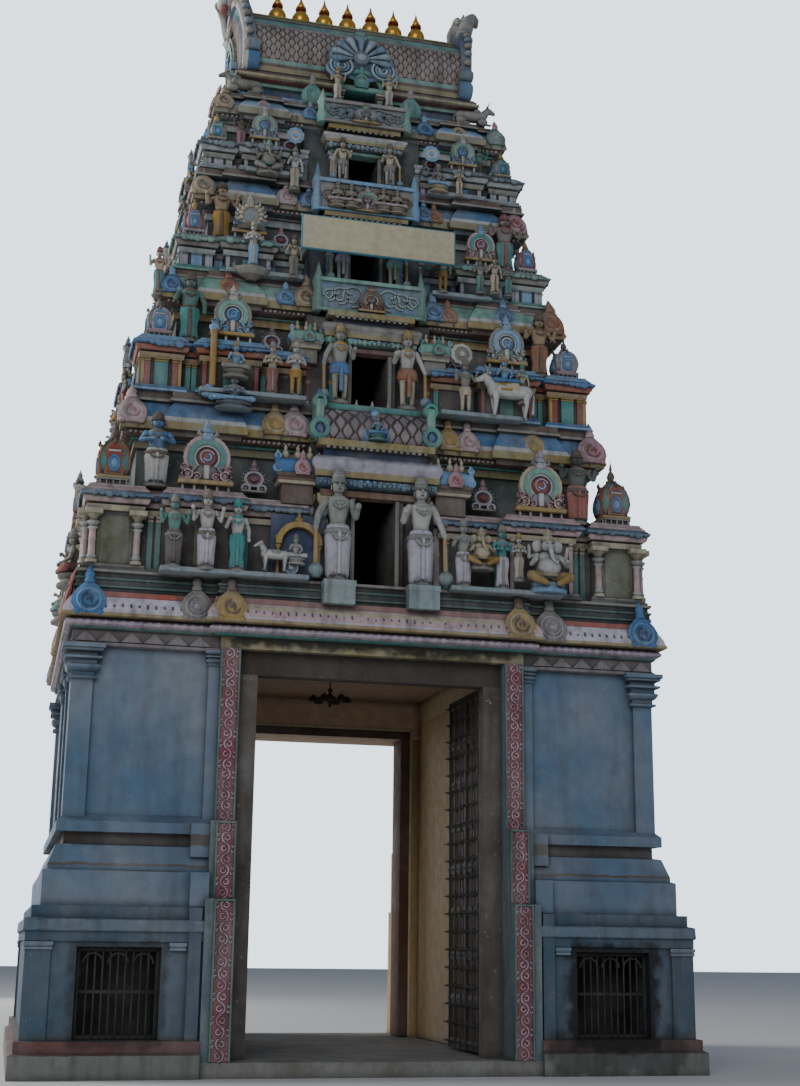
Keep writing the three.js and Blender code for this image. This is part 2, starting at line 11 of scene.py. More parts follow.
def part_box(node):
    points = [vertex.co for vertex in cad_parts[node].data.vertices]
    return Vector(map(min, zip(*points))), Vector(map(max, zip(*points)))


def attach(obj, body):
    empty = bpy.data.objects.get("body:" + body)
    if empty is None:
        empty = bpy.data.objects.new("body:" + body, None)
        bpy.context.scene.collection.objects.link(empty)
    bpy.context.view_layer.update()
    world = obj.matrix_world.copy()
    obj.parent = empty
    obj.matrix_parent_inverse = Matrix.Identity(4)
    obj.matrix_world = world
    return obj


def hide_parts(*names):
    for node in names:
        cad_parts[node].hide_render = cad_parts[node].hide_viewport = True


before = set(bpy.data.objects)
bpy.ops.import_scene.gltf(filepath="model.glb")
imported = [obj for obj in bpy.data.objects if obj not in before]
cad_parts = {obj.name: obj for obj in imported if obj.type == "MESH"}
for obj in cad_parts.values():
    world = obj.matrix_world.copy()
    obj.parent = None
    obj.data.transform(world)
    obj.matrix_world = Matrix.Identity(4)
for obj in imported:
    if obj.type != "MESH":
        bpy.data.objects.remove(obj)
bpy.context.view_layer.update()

# Camera at eye height, left of the gate and looking up to the right, as a visitor stands.
# The lens length follows from the height of the picture, 1086 pixels on a 36 mm frame.
CAMERA_PLACE = Vector((-5.004, -24.68, 1.716))
CAMERA_TURN = radians(13.93)
CAMERA_RISE = radians(14.54)
CAMERA_ROLL = radians(0.697)
PICTURE_HEIGHT = 1086
FOCAL_PIXELS = 1550.3
SENSOR = 36.0

ahead = Vector((
    sin(CAMERA_TURN) * cos(CAMERA_RISE),
    cos(CAMERA_TURN) * cos(CAMERA_RISE),
    sin(CAMERA_RISE),
))
level = Vector((cos(CAMERA_TURN), -sin(CAMERA_TURN), 0))
over = level.cross(ahead)
rightward = cos(CAMERA_ROLL) * level + sin(CAMERA_ROLL) * over
upward = cos(CAMERA_ROLL) * over - sin(CAMERA_ROLL) * level
camera_data = bpy.data.cameras.new("visitor_eye")
camera_data.sensor_width = SENSOR
camera_data.lens = FOCAL_PIXELS * SENSOR / PICTURE_HEIGHT
camera_data.clip_end = 300
camera = bpy.data.objects.new("visitor_eye", camera_data)
camera.matrix_world = (
    Matrix.Translation(CAMERA_PLACE) @ Matrix((rightward, upward, -ahead)).transposed().to_4x4()
)
bpy.context.scene.collection.objects.link(camera)
bpy.context.scene.camera = camera


# Stage: a pale floor, a pale even sky and four large soft lights. The strongest comes from
# the left and behind, so that the left side is bright and the front lies in soft shade.
def node(tree, kind, inputs=None, **settings):
    """Adds one shader node, with its settings and its inputs as values or as sockets."""
    made = tree.nodes.new(kind)
    for key, value in settings.items():
        setattr(made, key, value)
    for key, value in (inputs or {}).items():
        if isinstance(value, bpy.types.NodeSocket):
            tree.links.new(value, made.inputs[key])
        else:
            made.inputs[key].default_value = value
    return made


def new_material(name):
    material = bpy.data.materials.new(name)
    material.use_nodes = True
    material.node_tree.nodes.clear()
    return material, material.node_tree


def surface(tree, colour, roughness, height=None, bump=0.3, distance=0.02, **constants):
    """Ends a material in one Principled shader, with an optional bump."""
    shader = node(tree, "ShaderNodeBsdfPrincipled", {"Base Color": colour, "Roughness": roughness})
    for key, value in constants.items():
        shader.inputs[key.replace("_", " ")].default_value = value
    if height is not None:
        relief = node(tree, "ShaderNodeBump", {"Height": height, "Strength": bump, "Distance": distance})
        tree.links.new(relief.outputs["Normal"], shader.inputs["Normal"])
    output = node(tree, "ShaderNodeOutputMaterial")
    tree.links.new(shader.outputs["BSDF"], output.inputs["Surface"])


FLOOR_SIZE = 90
floor_bm = bmesh.new()
bmesh.ops.create_grid(floor_bm, x_segments=1, y_segments=1, size=FLOOR_SIZE)
floor_mesh = bpy.data.meshes.new("studio_floor")
floor_bm.to_mesh(floor_mesh)
floor_bm.free()
floor = bpy.data.objects.new("studio_floor", floor_mesh)
bpy.context.scene.collection.objects.link(floor)
floor_material, floor_tree = new_material("pale_floor")
surface(floor_tree, (0.6, 0.58, 0.55, 1), 0.9)
floor_mesh.materials.append(floor_material)

SKY_LIGHT = (0.205, 0.245, 0.315, 1)
SKY_SEEN = (1.9, 2.25, 2.5, 1)
world = bpy.data.worlds.new("studio_sky")
world.use_nodes = True
backdrop = world.node_tree.nodes["Background"]
seen = node(world.node_tree, "ShaderNodeLightPath").outputs["Is Camera Ray"]
sky = node(world.node_tree, "ShaderNodeMix", {0: seen, 6: SKY_LIGHT, 7: SKY_SEEN},
    data_type="RGBA").outputs[2]
world.node_tree.links.new(sky, backdrop.inputs["Color"])
bpy.context.scene.world = world

TOWER_MIDDLE = Vector((0, 0, 8))
for light_name, light_place, light_size, light_power in [
    ("side_light", Vector((-36, 8, 26)), 14, 15000),
    ("front_light", Vector((-16, -40, 24)), 26, 5200),
    ("fill_light", Vector((34, -22, 14)), 24, 900),
    ("yard_light", Vector((-9, 26, 7)), 9, 1000),
]:
    lamp = bpy.data.lights.new(light_name, "AREA")
    lamp.size = light_size
    lamp.energy = light_power
    lamp_object = bpy.data.objects.new(light_name, lamp)
    lamp_object.location = light_place
    lamp_object.rotation_euler = (TOWER_MIDDLE - light_place).to_track_quat("-Z", "Y").to_euler()
    bpy.context.scene.collection.objects.link(lamp_object)


# Walls of the base: granite courses under slate-blue limewash, clouded and streaked by rain.
# The foot is bare grey-green stone with a worn red band, and one low band is washed cream.
def paint(code):
    """A linear colour from a six-figure colour code."""
    parts = [int(code[i:i + 2], 16) / 255 for i in (0, 2, 4)]
    return tuple(c / 12.92 if c < 0.04045 else ((c + 0.055) / 1.055) ** 2.4 for c in parts)


def ramp(tree, value, low, high, start=0.0, end=1.0):
    return node(tree, "ShaderNodeMapRange", {
        "Value": value, "From Min": low, "From Max": high, "To Min": start, "To Max": end,
    }).outputs["Result"]


def times(tree, a, b):
    return node(tree, "ShaderNodeMath", {0: a, 1: b}, operation="MULTIPLY").outputs[0]


def mix(tree, factor, a, b):
    mixed = node(tree, "ShaderNodeMix", {0: factor, 6: a, 7: b}, data_type="RGBA")
    return mixed.outputs[2]


def noise(tree, place, scale, detail, stretch=(1, 1, 1), rough=0.55):
    mapped = node(tree, "ShaderNodeMapping", {"Vector": place, "Scale": stretch}).outputs[0]
    return node(tree, "ShaderNodeTexNoise", {
        "Vector": mapped, "Scale": scale, "Detail": detail, "Roughness": rough,
    }).outputs["Fac"]


def build_weather():
    """Weather on lime and paint: faded clouds, dark streaks that run down, black growth on what
    faces up, and chips that show the pale lime below."""
    tree = bpy.data.node_groups.new("weathered_lime", "ShaderNodeTree")
    tree.interface.new_socket("Color", in_out="INPUT", socket_type="NodeSocketColor")
    for name in ("Fade", "Streaks", "Growth", "Chips", "Scale"):
        tree.interface.new_socket(name, in_out="INPUT", socket_type="NodeSocketFloat")
    for name, kind in [
        ("Color", "NodeSocketColor"), ("Roughness", "NodeSocketFloat"), ("Height", "NodeSocketFloat"),
    ]:
        tree.interface.new_socket(name, in_out="OUTPUT", socket_type=kind)
    given = node(tree, "NodeGroupInput").outputs
    spot = node(tree, "ShaderNodeTexCoord").outputs["Object"]
    place = node(tree, "ShaderNodeVectorMath", {0: spot, 3: given["Scale"]}, operation="SCALE").outputs[0]
    clouds = ramp(tree, noise(tree, place, 1.3, 6), 0.36, 0.66)
    mottle = ramp(tree, noise(tree, place, 10, 5), 0.35, 0.7)
    streak = ramp(tree, noise(tree, place, 6, 5, (1, 1, 0.13), 0.62), 0.48, 0.7)
    chip = ramp(tree, noise(tree, place, 15, 6, (1, 1, 1), 0.7), 0.61, 0.66)
    fine = noise(tree, place, 70, 4)
    facing = node(tree, "ShaderNodeSeparateXYZ", {0: node(tree, "ShaderNodeNewGeometry").outputs["Normal"]})
    growth = times(tree, ramp(tree, facing.outputs["Z"], 0.2, 0.9),
        ramp(tree, noise(tree, place, 3, 5), 0.28, 0.58))
    faded = mix(tree, times(tree, clouds, given["Fade"]), given["Color"], (0.4, 0.39, 0.37, 1))
    mottled = mix(tree, times(tree, mottle, 0.25), faded, (0.09, 0.085, 0.08, 1))
    chipped = mix(tree, times(tree, chip, given["Chips"]), mottled, (0.4, 0.37, 0.32, 1))
    streaked = mix(tree, times(tree, streak, given["Streaks"]), chipped, (0.04, 0.038, 0.036, 1))
    grown = mix(tree, times(tree, growth, given["Growth"]), streaked, (0.028, 0.028, 0.025, 1))
    relief = node(tree, "ShaderNodeMath", {0: fine, 1: times(tree, chip, -1.2)}, operation="ADD").outputs[0]
    end = node(tree, "NodeGroupOutput")
    tree.links.new(grown, end.inputs["Color"])
    tree.links.new(ramp(tree, mottle, 0.0, 1.0, 0.72, 0.95), end.inputs["Roughness"])
    tree.links.new(relief, end.inputs["Height"])
    return tree


weather = build_weather()
# Front plane and half depth of the spreads of soot and of painted shade.
SOOT_SHADE_FACE = -3.3
SOOT_SHADE_DEPTH = 1.2


def weathered(name, colour, fade=0.3, streaks=0.4, growth=0.6, chips=0.3, scale=1.0, bump=0.35, bands=(),
              occlusion_shade=0.68, reach=0.12, soot_and_shade=()):
    """A weathered finish over one colour, or over the coat painted on the mesh if it is None.

    Bands are (from height, to height, colour) and lie over the colour. Soot and shade spreads are
    (x, z, half width, half height, reach, strength) and darken round an oblong. Hollows, creases and corners
    are darkened by ambient occlusion, as painted shade."""
    material, tree = new_material(name)
    if colour is None:
        ground = node(tree, "ShaderNodeAttribute", attribute_name="paint").outputs["Color"]
    else:
        ground = (*colour, 1)
    if bands:
        spot = node(tree, "ShaderNodeTexCoord").outputs["Object"]
        height = node(tree, "ShaderNodeSeparateXYZ", {0: spot}).outputs["Z"]
        ragged = ramp(tree, noise(tree, spot, 7, 5), 0.0, 1.0, -0.03, 0.03)
        height = node(tree, "ShaderNodeMath", {0: height, 1: ragged}, operation="ADD").outputs[0]
        for low, high, band in bands:
            above = ramp(tree, height, low - 0.006, low + 0.006)
            below = ramp(tree, height, high + 0.006, high - 0.006)
            ground = mix(tree, times(tree, above, below), ground, (*band, 1))
    worn = node(tree, "ShaderNodeGroup", {
        "Color": ground, "Fade": fade, "Streaks": streaks, "Growth": growth, "Chips": chips, "Scale": scale,
    }, node_tree=weather)
    # Painted shade: ambient occlusion darkens the colour in hollows, creases and corners.
    hollow = node(tree, "ShaderNodeAmbientOcclusion", {"Distance": reach}, samples=4).outputs["AO"]
    painted_shade = ramp(tree, hollow, 0.35, 0.95, occlusion_shade, 0.0)
    dirt_and_shade = mix(tree, painted_shade, worn.outputs["Color"], (0.02, 0.019, 0.018, 1))
    # Each spread darkens the colour round an oblong; each call says what it paints.
    for x, z, half_x, half_z, far, strength in soot_and_shade:
        spot = node(tree, "ShaderNodeTexCoord").outputs["Object"]
        away = spot
        for operation, other in [
            ("SUBTRACT", (x, SOOT_SHADE_FACE, z)), ("ABSOLUTE", (0, 0, 0)),
            ("SUBTRACT", (half_x, SOOT_SHADE_DEPTH, half_z)), ("MAXIMUM", (0, 0, 0)),
        ]:
            away = node(tree, "ShaderNodeVectorMath", {0: away, 1: other}, operation=operation).outputs[0]
        away = node(tree, "ShaderNodeVectorMath", {0: away}, operation="LENGTH").outputs["Value"]
        ragged = ramp(tree, noise(tree, spot, 5, 6), 0.3, 0.7, -0.5 * far, 0.5 * far)
        away = node(tree, "ShaderNodeMath", {0: away, 1: ragged}, operation="ADD").outputs[0]
        dirt_and_shade = mix(tree, ramp(tree, away, 0.35 * far, far, strength, 0.0), dirt_and_shade, (0.014, 0.013, 0.012, 1))
    surface(tree, dirt_and_shade, worn.outputs["Roughness"], worn.outputs["Height"], bump, 0.01)
    return material


def dress(material, *names):
    """Gives carried-over CAD nodes their finish."""
    for name in names:
        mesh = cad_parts[name].data
        mesh.materials.clear()
        mesh.materials.append(material)


SLATE = paint("3d5769")
FOOT_BANDS = [
    (-0.1, 0.3, paint("74776e")), (0.3, 0.48, paint("6b4540")), (0.48, 0.56, paint("4c5c61")),
    (1.86, 1.99, paint("5f7282")),
]
# The first two spreads are painted shade: they darken the insides of the two niches and a rim round them, the
# right one more. The third darkens a low strip under the right niche.
plinth_wash = weathered("plinth_wash", SLATE, 0.22, 0.45, 0.4, 0.25, 0.8, bands=FOOT_BANDS,
    soot_and_shade=[(3.45, 1.05, 0.56, 0.6, 0.17, 0.93), (-3.45, 1.05, 0.54, 0.58, 0.12, 0.5),
    (3.45, 0.3, 0.8, 0.1, 0.3, 0.5)])
# The two dark brown bands are painted shade in the recesses of the mouldings.
wall_wash = weathered("wall_wash", paint("57748e"), 0.42, 0.3, 0.5, 0.15, 0.5, 0.25, bands=[
    (2.7, 2.735, paint("54463f")), (2.985, 3.145, paint("40372f")),
])
dress(plinth_wash, "plinth_left", "plinth_right")
dress(wall_wash, "base_wall_left", "base_wall_right")


# Base trims in the same wash: stepped capitals on the tall piers and thin fillets on the low piers,
# built up in lime plaster over the stone, and near-black blocks inside the niches as painted shade.
LILAC = paint("b5afbd")
CREAM = paint("c2b698")
OCHRE = paint("b0924e")
ORANGE = paint("a0643c")
BRICK = paint("95463a")
CRIMSON = paint("83323a")
PINK = paint("bb8a93")
BLUSH = paint("c9acab")
BLUE = paint("3f7cb2")
SKY = paint("7cacd2")
NAVY = paint("28426a")
TEAL = paint("45918a")
MINT = paint("7bb09f")
FOREST = paint("2d473d")
OLIVE = paint("62674b")
STONE = paint("8b887e")
UMBER = paint("665040")
SHADOW = paint("15130f")
CHALK = paint("c8c7c2")
GOLD = paint("bb9338")
SHARP_ANGLE = radians(46)


def new_part():
    """An empty bmesh whose faces carry their coat of paint in a layer of their own."""
    part = bmesh.new()
    part.faces.layers.float_color.new("paint")
    return part


def coat(part, faces, colour):
    layer = part.faces.layers.float_color["paint"]
    for face in faces:
        face[layer] = (*colour, 1.0)


def coat_around(part, verts, colour):
    coat(part, {face for vert in verts for face in vert.link_faces}, colour)


def finish_piece(part, name, material, body="root", stands_for=()):
    """Turns a piece into an object that rides on a body and may stand for CAD nodes."""
    bmesh.ops.recalc_face_normals(part, faces=part.faces)
    mesh = bpy.data.meshes.new(name)
    part.to_mesh(mesh)
    part.free()
    mesh.materials.clear()
    mesh.materials.append(material)
    mesh.shade_smooth()
    mesh.set_sharp_from_angle(angle=SHARP_ANGLE)
    piece = bpy.data.objects.new(name, mesh)
    bpy.context.scene.collection.objects.link(piece)
    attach(piece, body)
    if stands_for:
        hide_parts(*stands_for)
    return piece


def block(part, low, high, colour, bevel=0.0):
    """A box between two opposite corners, with its edges eased where bevel is given."""
    low, high = (Vector([pick(pair) for pair in zip(low, high)]) for pick in (min, max))
    matrix = Matrix.Translation((low + high) / 2) @ Matrix.Diagonal((*(high - low), 1))
    verts = bmesh.ops.create_cube(part, size=1, matrix=matrix)["verts"]
    coat_around(part, verts, colour)
    if bevel:
        edges = list({edge for vert in verts for edge in vert.link_edges})
        made = bmesh.ops.bevel(
            part, geom=edges, offset=bevel, offset_type="OFFSET", affect="EDGES", segments=2,
            profile=0.5, material=-1,
        )
        coat(part, made["faces"], colour)


def stack(part, rings, colours):
    """Skins a row of closed outlines of equal count, from the first to the last, and closes both ends.

    Each colour coats the band that leads up to the outline of the same number."""
    verts = [part.verts.new(point) for point in rings[0]]
    count = len(verts)
    edges = [part.edges.new((verts[i], verts[(i + 1) % count])) for i in range(count)]
    coat(part, [part.faces.new(verts[::-1])], colours[1])
    for ring, colour in zip(rings[1:], colours[1:]):
        number = {vert: i for i, vert in enumerate(verts)}
        made = bmesh.ops.extrude_edge_only(part, edges=edges)["geom"]
        fresh = [None] * count
        for vert in (item for item in made if isinstance(item, bmesh.types.BMVert)):
            for edge in vert.link_edges:
                other = edge.other_vert(vert)
                if other in number:
                    fresh[number[other]] = vert
        for vert, point in zip(fresh, ring):
            vert.co = point
        coat(part, [item for item in made if isinstance(item, bmesh.types.BMFace)], colour)
        verts = fresh
        edges = [part.edges.get((verts[i], verts[(i + 1) % count])) for i in range(count)]
    coat(part, [part.faces.new(verts)], colours[-1])


def offset(plan, out):
    """Moves the moulded edges of a right-angled plan outwards. Each plan point is (x, y) or, where
    the edge that starts there carries no moulding, (x, y, 0)."""
    count = len(plan)
    moved = []
    for i in range(count):
        before, here, after = plan[i - 1], plan[i], plan[(i + 1) % count]
        spot = Vector(here[:2])
        first = (spot - Vector(before[:2])).normalized()
        second = (Vector(after[:2]) - spot).normalized()
        first_out = out if len(before) < 3 else 0
        second_out = out if len(here) < 3 else 0
        moved.append(
            spot + first_out * Vector((first.y, -first.x)) + second_out * Vector((second.y, -second.x))
        )
    return moved


def courses(part, plan, steps):
    """Mouldings round a plan, in steps of (how far out, height, coat of the band below)."""
    rings = [[(p.x, p.y, z) for p in offset(plan, out)] for out, z, _ in steps]
    stack(part, rings, [colour for _, _, colour in steps])


def rows(*items):
    """Rows of (radius or reach, height, coat), from coats that each lead the pairs they cover."""
    made = []
    for item in items:
        if len(item) == 3:
            colour = item
        else:
            made.append((*item, colour))
    return made


def oblong(x0, x1, y0, y1):
    """A right-angled plan between two lines across and two lines along, in any order."""
    (x0, x1), (y0, y1) = sorted((x0, x1)), sorted((y0, y1))
    return [(x0, y0), (x1, y0), (x1, y1), (x0, y1)]


def capital_rows(top, size, colours):
    """A stepped capital that ends at a height: its neck, cushion, bell and abacus."""
    steps = [
        (0.0, -1.0), (0.35, -0.98), (0.35, -0.92), (0.05, -0.9), (0.05, -0.8), (0.3, -0.76), (0.55, -0.66),
        (0.55, -0.6), (0.15, -0.56), (0.15, -0.48), (0.75, -0.42), (0.75, -0.36), (0.3, -0.33), (0.3, -0.26),
        (0.8, -0.2), (0.8, -0.14), (1.0, -0.12), (1.0, 0.0),
    ]
    return [(out * size, top + z * size * 3.6, colours[i % len(colours)]) for i, (out, z) in enumerate(steps)]


PIER_WASH = [paint("4f6c84"), paint("6a8396")]
CAPITAL_TOP = 5.71
TALL_FACE = 3.075
LOW_PIERS = [(4.33, 4.66, -3.44, -3.11), (4.33, 4.66, 3.06, 3.44), (2.6, 2.78, -3.44, -3.2)]
# Near-black blocks that line the back, the two sides and the top of each niche, as painted shade.
NICHE_SHADE_BLOCKS = [
    ((2.9, -2.425, 0.482), (4.0, -2.4, 1.648)), ((2.9, -3.25, 0.482), (2.909, -2.41, 1.648)),
    ((3.991, -3.25, 0.482), (4.0, -2.41, 1.648)), ((2.9, -3.25, 1.641), (4.0, -2.41, 1.65)),
]
base_trim = new_part()
for side_x in (-1, 1):
    for near, far, size in [(3.985, 4.295, 0.135), (2.26, 2.405, 0.06)]:
        for side_y in (-1, 1):
            pier = oblong(side_x * near, side_x * far, side_y * (TALL_FACE - 0.3), side_y * TALL_FACE)
            courses(base_trim, pier, capital_rows(CAPITAL_TOP, size, PIER_WASH))
    for pier_y in (-0.95, 0.55):
        block(base_trim, (side_x * 4.15, pier_y, 3.38), (side_x * 4.275, pier_y + 0.4, 5.7), SLATE)
        pier = oblong(side_x * 4.15, side_x * 4.275, pier_y, pier_y + 0.4)
        courses(base_trim, pier, capital_rows(CAPITAL_TOP, 0.08, PIER_WASH))
    for x0, x1, y0, y1 in LOW_PIERS:
        courses(base_trim, oblong(side_x * x0, side_x * x1, y0, y1), rows(SLATE, (0.0, 1.6), (0.018, 1.61),
            PIER_WASH[1], (0.018, 1.64), SLATE, (0.008, 1.65), PIER_WASH[1], (0.025, 1.67), (0.025, 1.71)))
    for (x0, *low), (x1, *high) in NICHE_SHADE_BLOCKS:
        block(base_trim, (side_x * x0, *low), (side_x * x1, *high), SHADOW)
trim_wash = weathered("trim_wash", None, 0.4, 0.35, 0.5, 0.25, 0.8)
finish_piece(base_trim, "base_trims", trim_wash)


# Niche grilles: painted iron frames with nine upright bars, a flat middle bar and three small
# arches, let into the front of the two low niches beside the gate.
iron_paint = weathered("iron_paint", None, 0.1, 0.2, 0.2, 0.25, 3.0, 0.2)
IRON = paint("1b1a19")
GRILLE_X = (2.905, 3.995)
GRILLE_Z = (0.485, 1.645)
GRILLE_Y = (-3.29, -3.266)
GRILLE_RIM = 0.05
GRILLE_BARS = 9


def arc_ribbon(part, centre, radius, start, turn, width, thick, colour, steps=7):
    """A flat raised ribbon that follows an arc on an upright face, spun from one small section."""
    cx, cy, cz = centre
    inner = radius - width / 2
    outer = radius + width / 2
    angle = Vector((cos(radians(start)), sin(radians(start))))
    section = [(inner, 0.0), (inner, -thick), (outer, -thick), (outer, 0.0)]
    verts = [
        part.verts.new((cx + angle.x * r, cy + depth, cz + angle.y * r)) for r, depth in section
    ]
    face = part.faces.new(verts)
    coat(part, [face], colour)
    made = bmesh.ops.spin(
        part, geom=[face] + verts + list(face.edges), cent=centre, axis=(0, -1, 0), angle=radians(turn),
        steps=steps, use_merge=False,
    )
    spun = [item for item in made["geom_last"] if isinstance(item, bmesh.types.BMVert)]
    grown = {f for vert in verts + spun for f in vert.link_faces}
    todo = list(grown)
    while todo:
        current = todo.pop()
        for edge in current.edges:
            for other in edge.link_faces:
                if other not in grown:
                    grown.add(other)
                    todo.append(other)
    coat(part, grown, colour)


for name, side_x in [("left", -1), ("right", 1)]:
    grille = new_part()
    x0, x1 = sorted(side_x * x for x in GRILLE_X)
    (z0, z1), (front, back), rim = GRILLE_Z, GRILLE_Y, GRILLE_RIM
    for low_x, high_x, low_z, high_z in [
        (x0, x0 + rim, z0, z1), (x1 - rim, x1, z0, z1), (x0 + rim, x1 - rim, z0, z0 + rim),
        (x0 + rim, x1 - rim, z1 - rim, z1), (x0 + rim, x1 - rim, 1.06, 1.1),
    ]:
        block(grille, (low_x, front, low_z), (high_x, back, high_z), IRON, 0.003)
    for i in range(GRILLE_BARS):
        bar_x = x0 + rim + (i + 1) * (x1 - x0 - 2 * rim) / (GRILLE_BARS + 1)
        block(grille, (bar_x - 0.012, front - 0.01, z0 + 0.01), (bar_x + 0.012, front + 0.014, z1 - 0.01),
            IRON, 0.004)
    for share in (0.2, 0.5, 0.8):
        arc_ribbon(grille, (x0 + share * (x1 - x0), front - 0.006, 1.44), 0.13, 0, 180, 0.022, 0.012, IRON, 8)
    finish_piece(grille, f"niche_grille_{name}", iron_paint)


# Painted jambs: a red field between thin teal edges, with pale pink plaster scrolls that climb
# the face. The lintel over them is a plain beam in stained yellow wash.
dress(weathered("jamb_wash", paint("64787f"), 0.35, 0.5, 0.4, 0.35), "jamb_left", "jamb_right")
# The stained yellow wash is darkened along its top edge, under the cornice, and in a patch to the right of
# the middle.
dress(weathered("lintel_wash", paint("9c8f62"), 0.5, 0.45, 0.6, 0.9, 0.8, soot_and_shade=[
    (0, 5.93, 2.0, 0.02, 0.16, 0.85), (1.2, 5.75, 0.5, 0.02, 0.12, 0.5)]), "front_lintel")

JAMB_FACES = [(0.215, 2.285, -3.49), (2.3, 3.325, -3.33), (3.34, 5.755, -3.12)]
FIELD_X = (1.985, 2.215)
VINE_RED = paint("8a4650")
VINE = paint("c4a6b0")
JAMB_EDGE = paint("53786f")
JAMB_RIM = 0.024
SCROLL_PITCH = 0.14
jamb_trim = new_part()
for side_x in (-1, 1):
    for face_index, (low, high, face_y) in enumerate(JAMB_FACES):
        back = face_y + 0.02
        inner, outer = FIELD_X
        block(jamb_trim, (side_x * inner, face_y - 0.012, low), (side_x * outer, back, high), VINE_RED)
        for edge_x in (inner - JAMB_RIM, outer):
            block(jamb_trim, (side_x * edge_x, face_y - 0.03, low), (
                side_x * (edge_x + JAMB_RIM), back, high), JAMB_EDGE)
        if face_index < 2:
            block(jamb_trim, (side_x * (inner - JAMB_RIM), face_y - 0.035, high - JAMB_RIM), (
                side_x * (outer + JAMB_RIM), back, high), JAMB_EDGE)
        middle = side_x * (inner + outer) / 2
        count = int((high - low) / SCROLL_PITCH)
        step = (high - low) / count
        for i in range(count):
            z = low + (i + 0.5) * step
            hand = 1 if i % 2 else -1
            tone = VINE if i % 3 else PINK
            spiral = (middle + hand * 0.022, face_y - 0.012, z)
            arc_ribbon(jamb_trim, spiral, step * 0.5, -90, -hand * 180, 0.02, 0.012, tone, 7)
            arc_ribbon(jamb_trim, spiral, step * 0.24, 90 + hand * 90, hand * 290, 0.018, 0.012, tone, 7)
            for dx, dz in ((-0.1, 0.035), (-0.092, -0.035)):
                arc_ribbon(jamb_trim, (middle + hand * dx, face_y - 0.012, z + dz), 0.016, 20,
                           hand * 250, 0.016, 0.012, tone, 4)
jamb_coat = weathered("jamb_coat", None, 0.35, 0.6, 0.5, 0.5, 1.2, reach=0.04)
finish_piece(jamb_trim, "jamb_scrolls", jamb_coat)


# Passage: cream-yellow limewashed walls and ceiling, a worn stone floor, a dark timber frame
# round the far opening and an iron lamp cluster that hangs from its middle on a rod. Paler strips
# at the top of the side walls and on the edges of the far opening are painted light.
HALL_TOP = 5.93
dress(weathered("hall_wash", paint("d8bb9c"), 0.2, 0.1, 0.2, 0.15, 0.6), "back_lintel")
# The inner lintel's dark brown is partly its own wash and partly painted shade inside the passage.
dress(weathered("door_wash_and_shade", paint("3c3128"), 0.1, 0.5, 0.4, 0.2, 0.9), "door_lintel")
dress(weathered("back_wash", paint("b89c62"), 0.3, 0.3, 0.3, 0.3), "back_jamb_left", "back_jamb_right")
dress(weathered("post_wash", paint("584e44"), 0.3, 0.6, 0.3, 0.7, 0.8, 0.6), "door_post_left",
    "door_post_right")
dress(weathered("floor_wear", paint("77736a"), 0.5, 0.2, 0.15, 0.4, 1.2), "passage_floor")

HALL_HALF = 2.04
# Height from which the side walls are painted paler, as painted light.
HALL_LIT_FROM = 5.52
HALL_FRONT, HALL_BACK = -2.69, 2.1
# The pale cfc29a strips are painted light: the upper part of each side wall, and thin lines on the near edges
# of the far opening where the sun falls.
HALL_SIDES = [
    ((HALL_HALF - 0.008, HALL_FRONT, 0.21), (HALL_HALF + 0.02, HALL_BACK, HALL_TOP - 0.01), "c9ae82", 0),
    ((HALL_HALF - 0.012, HALL_FRONT, HALL_LIT_FROM), (HALL_HALF + 0.024, HALL_BACK, HALL_TOP - 0.01),
        "cfc29a", 0),
    ((1.7, 2.09, 0.21), (1.862, 2.655, 5.26), "5d3c28", 0.008),
    ((1.862, 2.085, 0.21), (1.905, 2.11, 5.44), "cfc29a", 0.008),
]
hall_trim = new_part()
for low, high, colour, bevel in [
    ((-HALL_HALF, HALL_FRONT, HALL_TOP - 0.02), (HALL_HALF, HALL_BACK, HALL_TOP + 0.01), "a88c6e", 0),
    ((-1.862, 2.09, 5.262), (1.862, 2.655, 5.4), "4a3022", 0.008),
    # A thin pale line along the top edge of the far opening, as painted light.
    ((-1.905, 2.085, 5.4), (1.905, 2.11, 5.445), "cfc29a", 0.004),
]:
    block(hall_trim, low, high, paint(colour), bevel)
for (x0, *low), (x1, *high), colour, bevel in HALL_SIDES:
    for side_x in (-1, 1):
        block(hall_trim, (side_x * x0, *low), (side_x * x1, *high), paint(colour), bevel)
hall_coat = weathered("hall_coat", None, 0.3, 0.08, 0.2, 0.15, 0.6)
finish_piece(hall_trim, "hall_trims", hall_coat)


def keep(part):
    """Keeps a finished form as a mesh, to be placed as often as the tower has it."""
    bmesh.ops.recalc_face_normals(part, faces=part.faces)
    mesh = bpy.data.meshes.new("form")
    part.to_mesh(mesh)
    part.free()
    return mesh


def put(target, mesh, matrix=Matrix.Identity(4)):
    """Adds a copy of a kept form to a piece."""
    copy = mesh.copy()
    copy.transform(matrix)
    target.from_mesh(copy)
    bpy.data.meshes.remove(copy)


def form(make):
    """Marks a function that models a form, so that each choice of coats is made and kept once."""
    @cache
    def kept(*choices):
        part = new_part()
        make(part, *choices)
        return keep(part)

    return kept


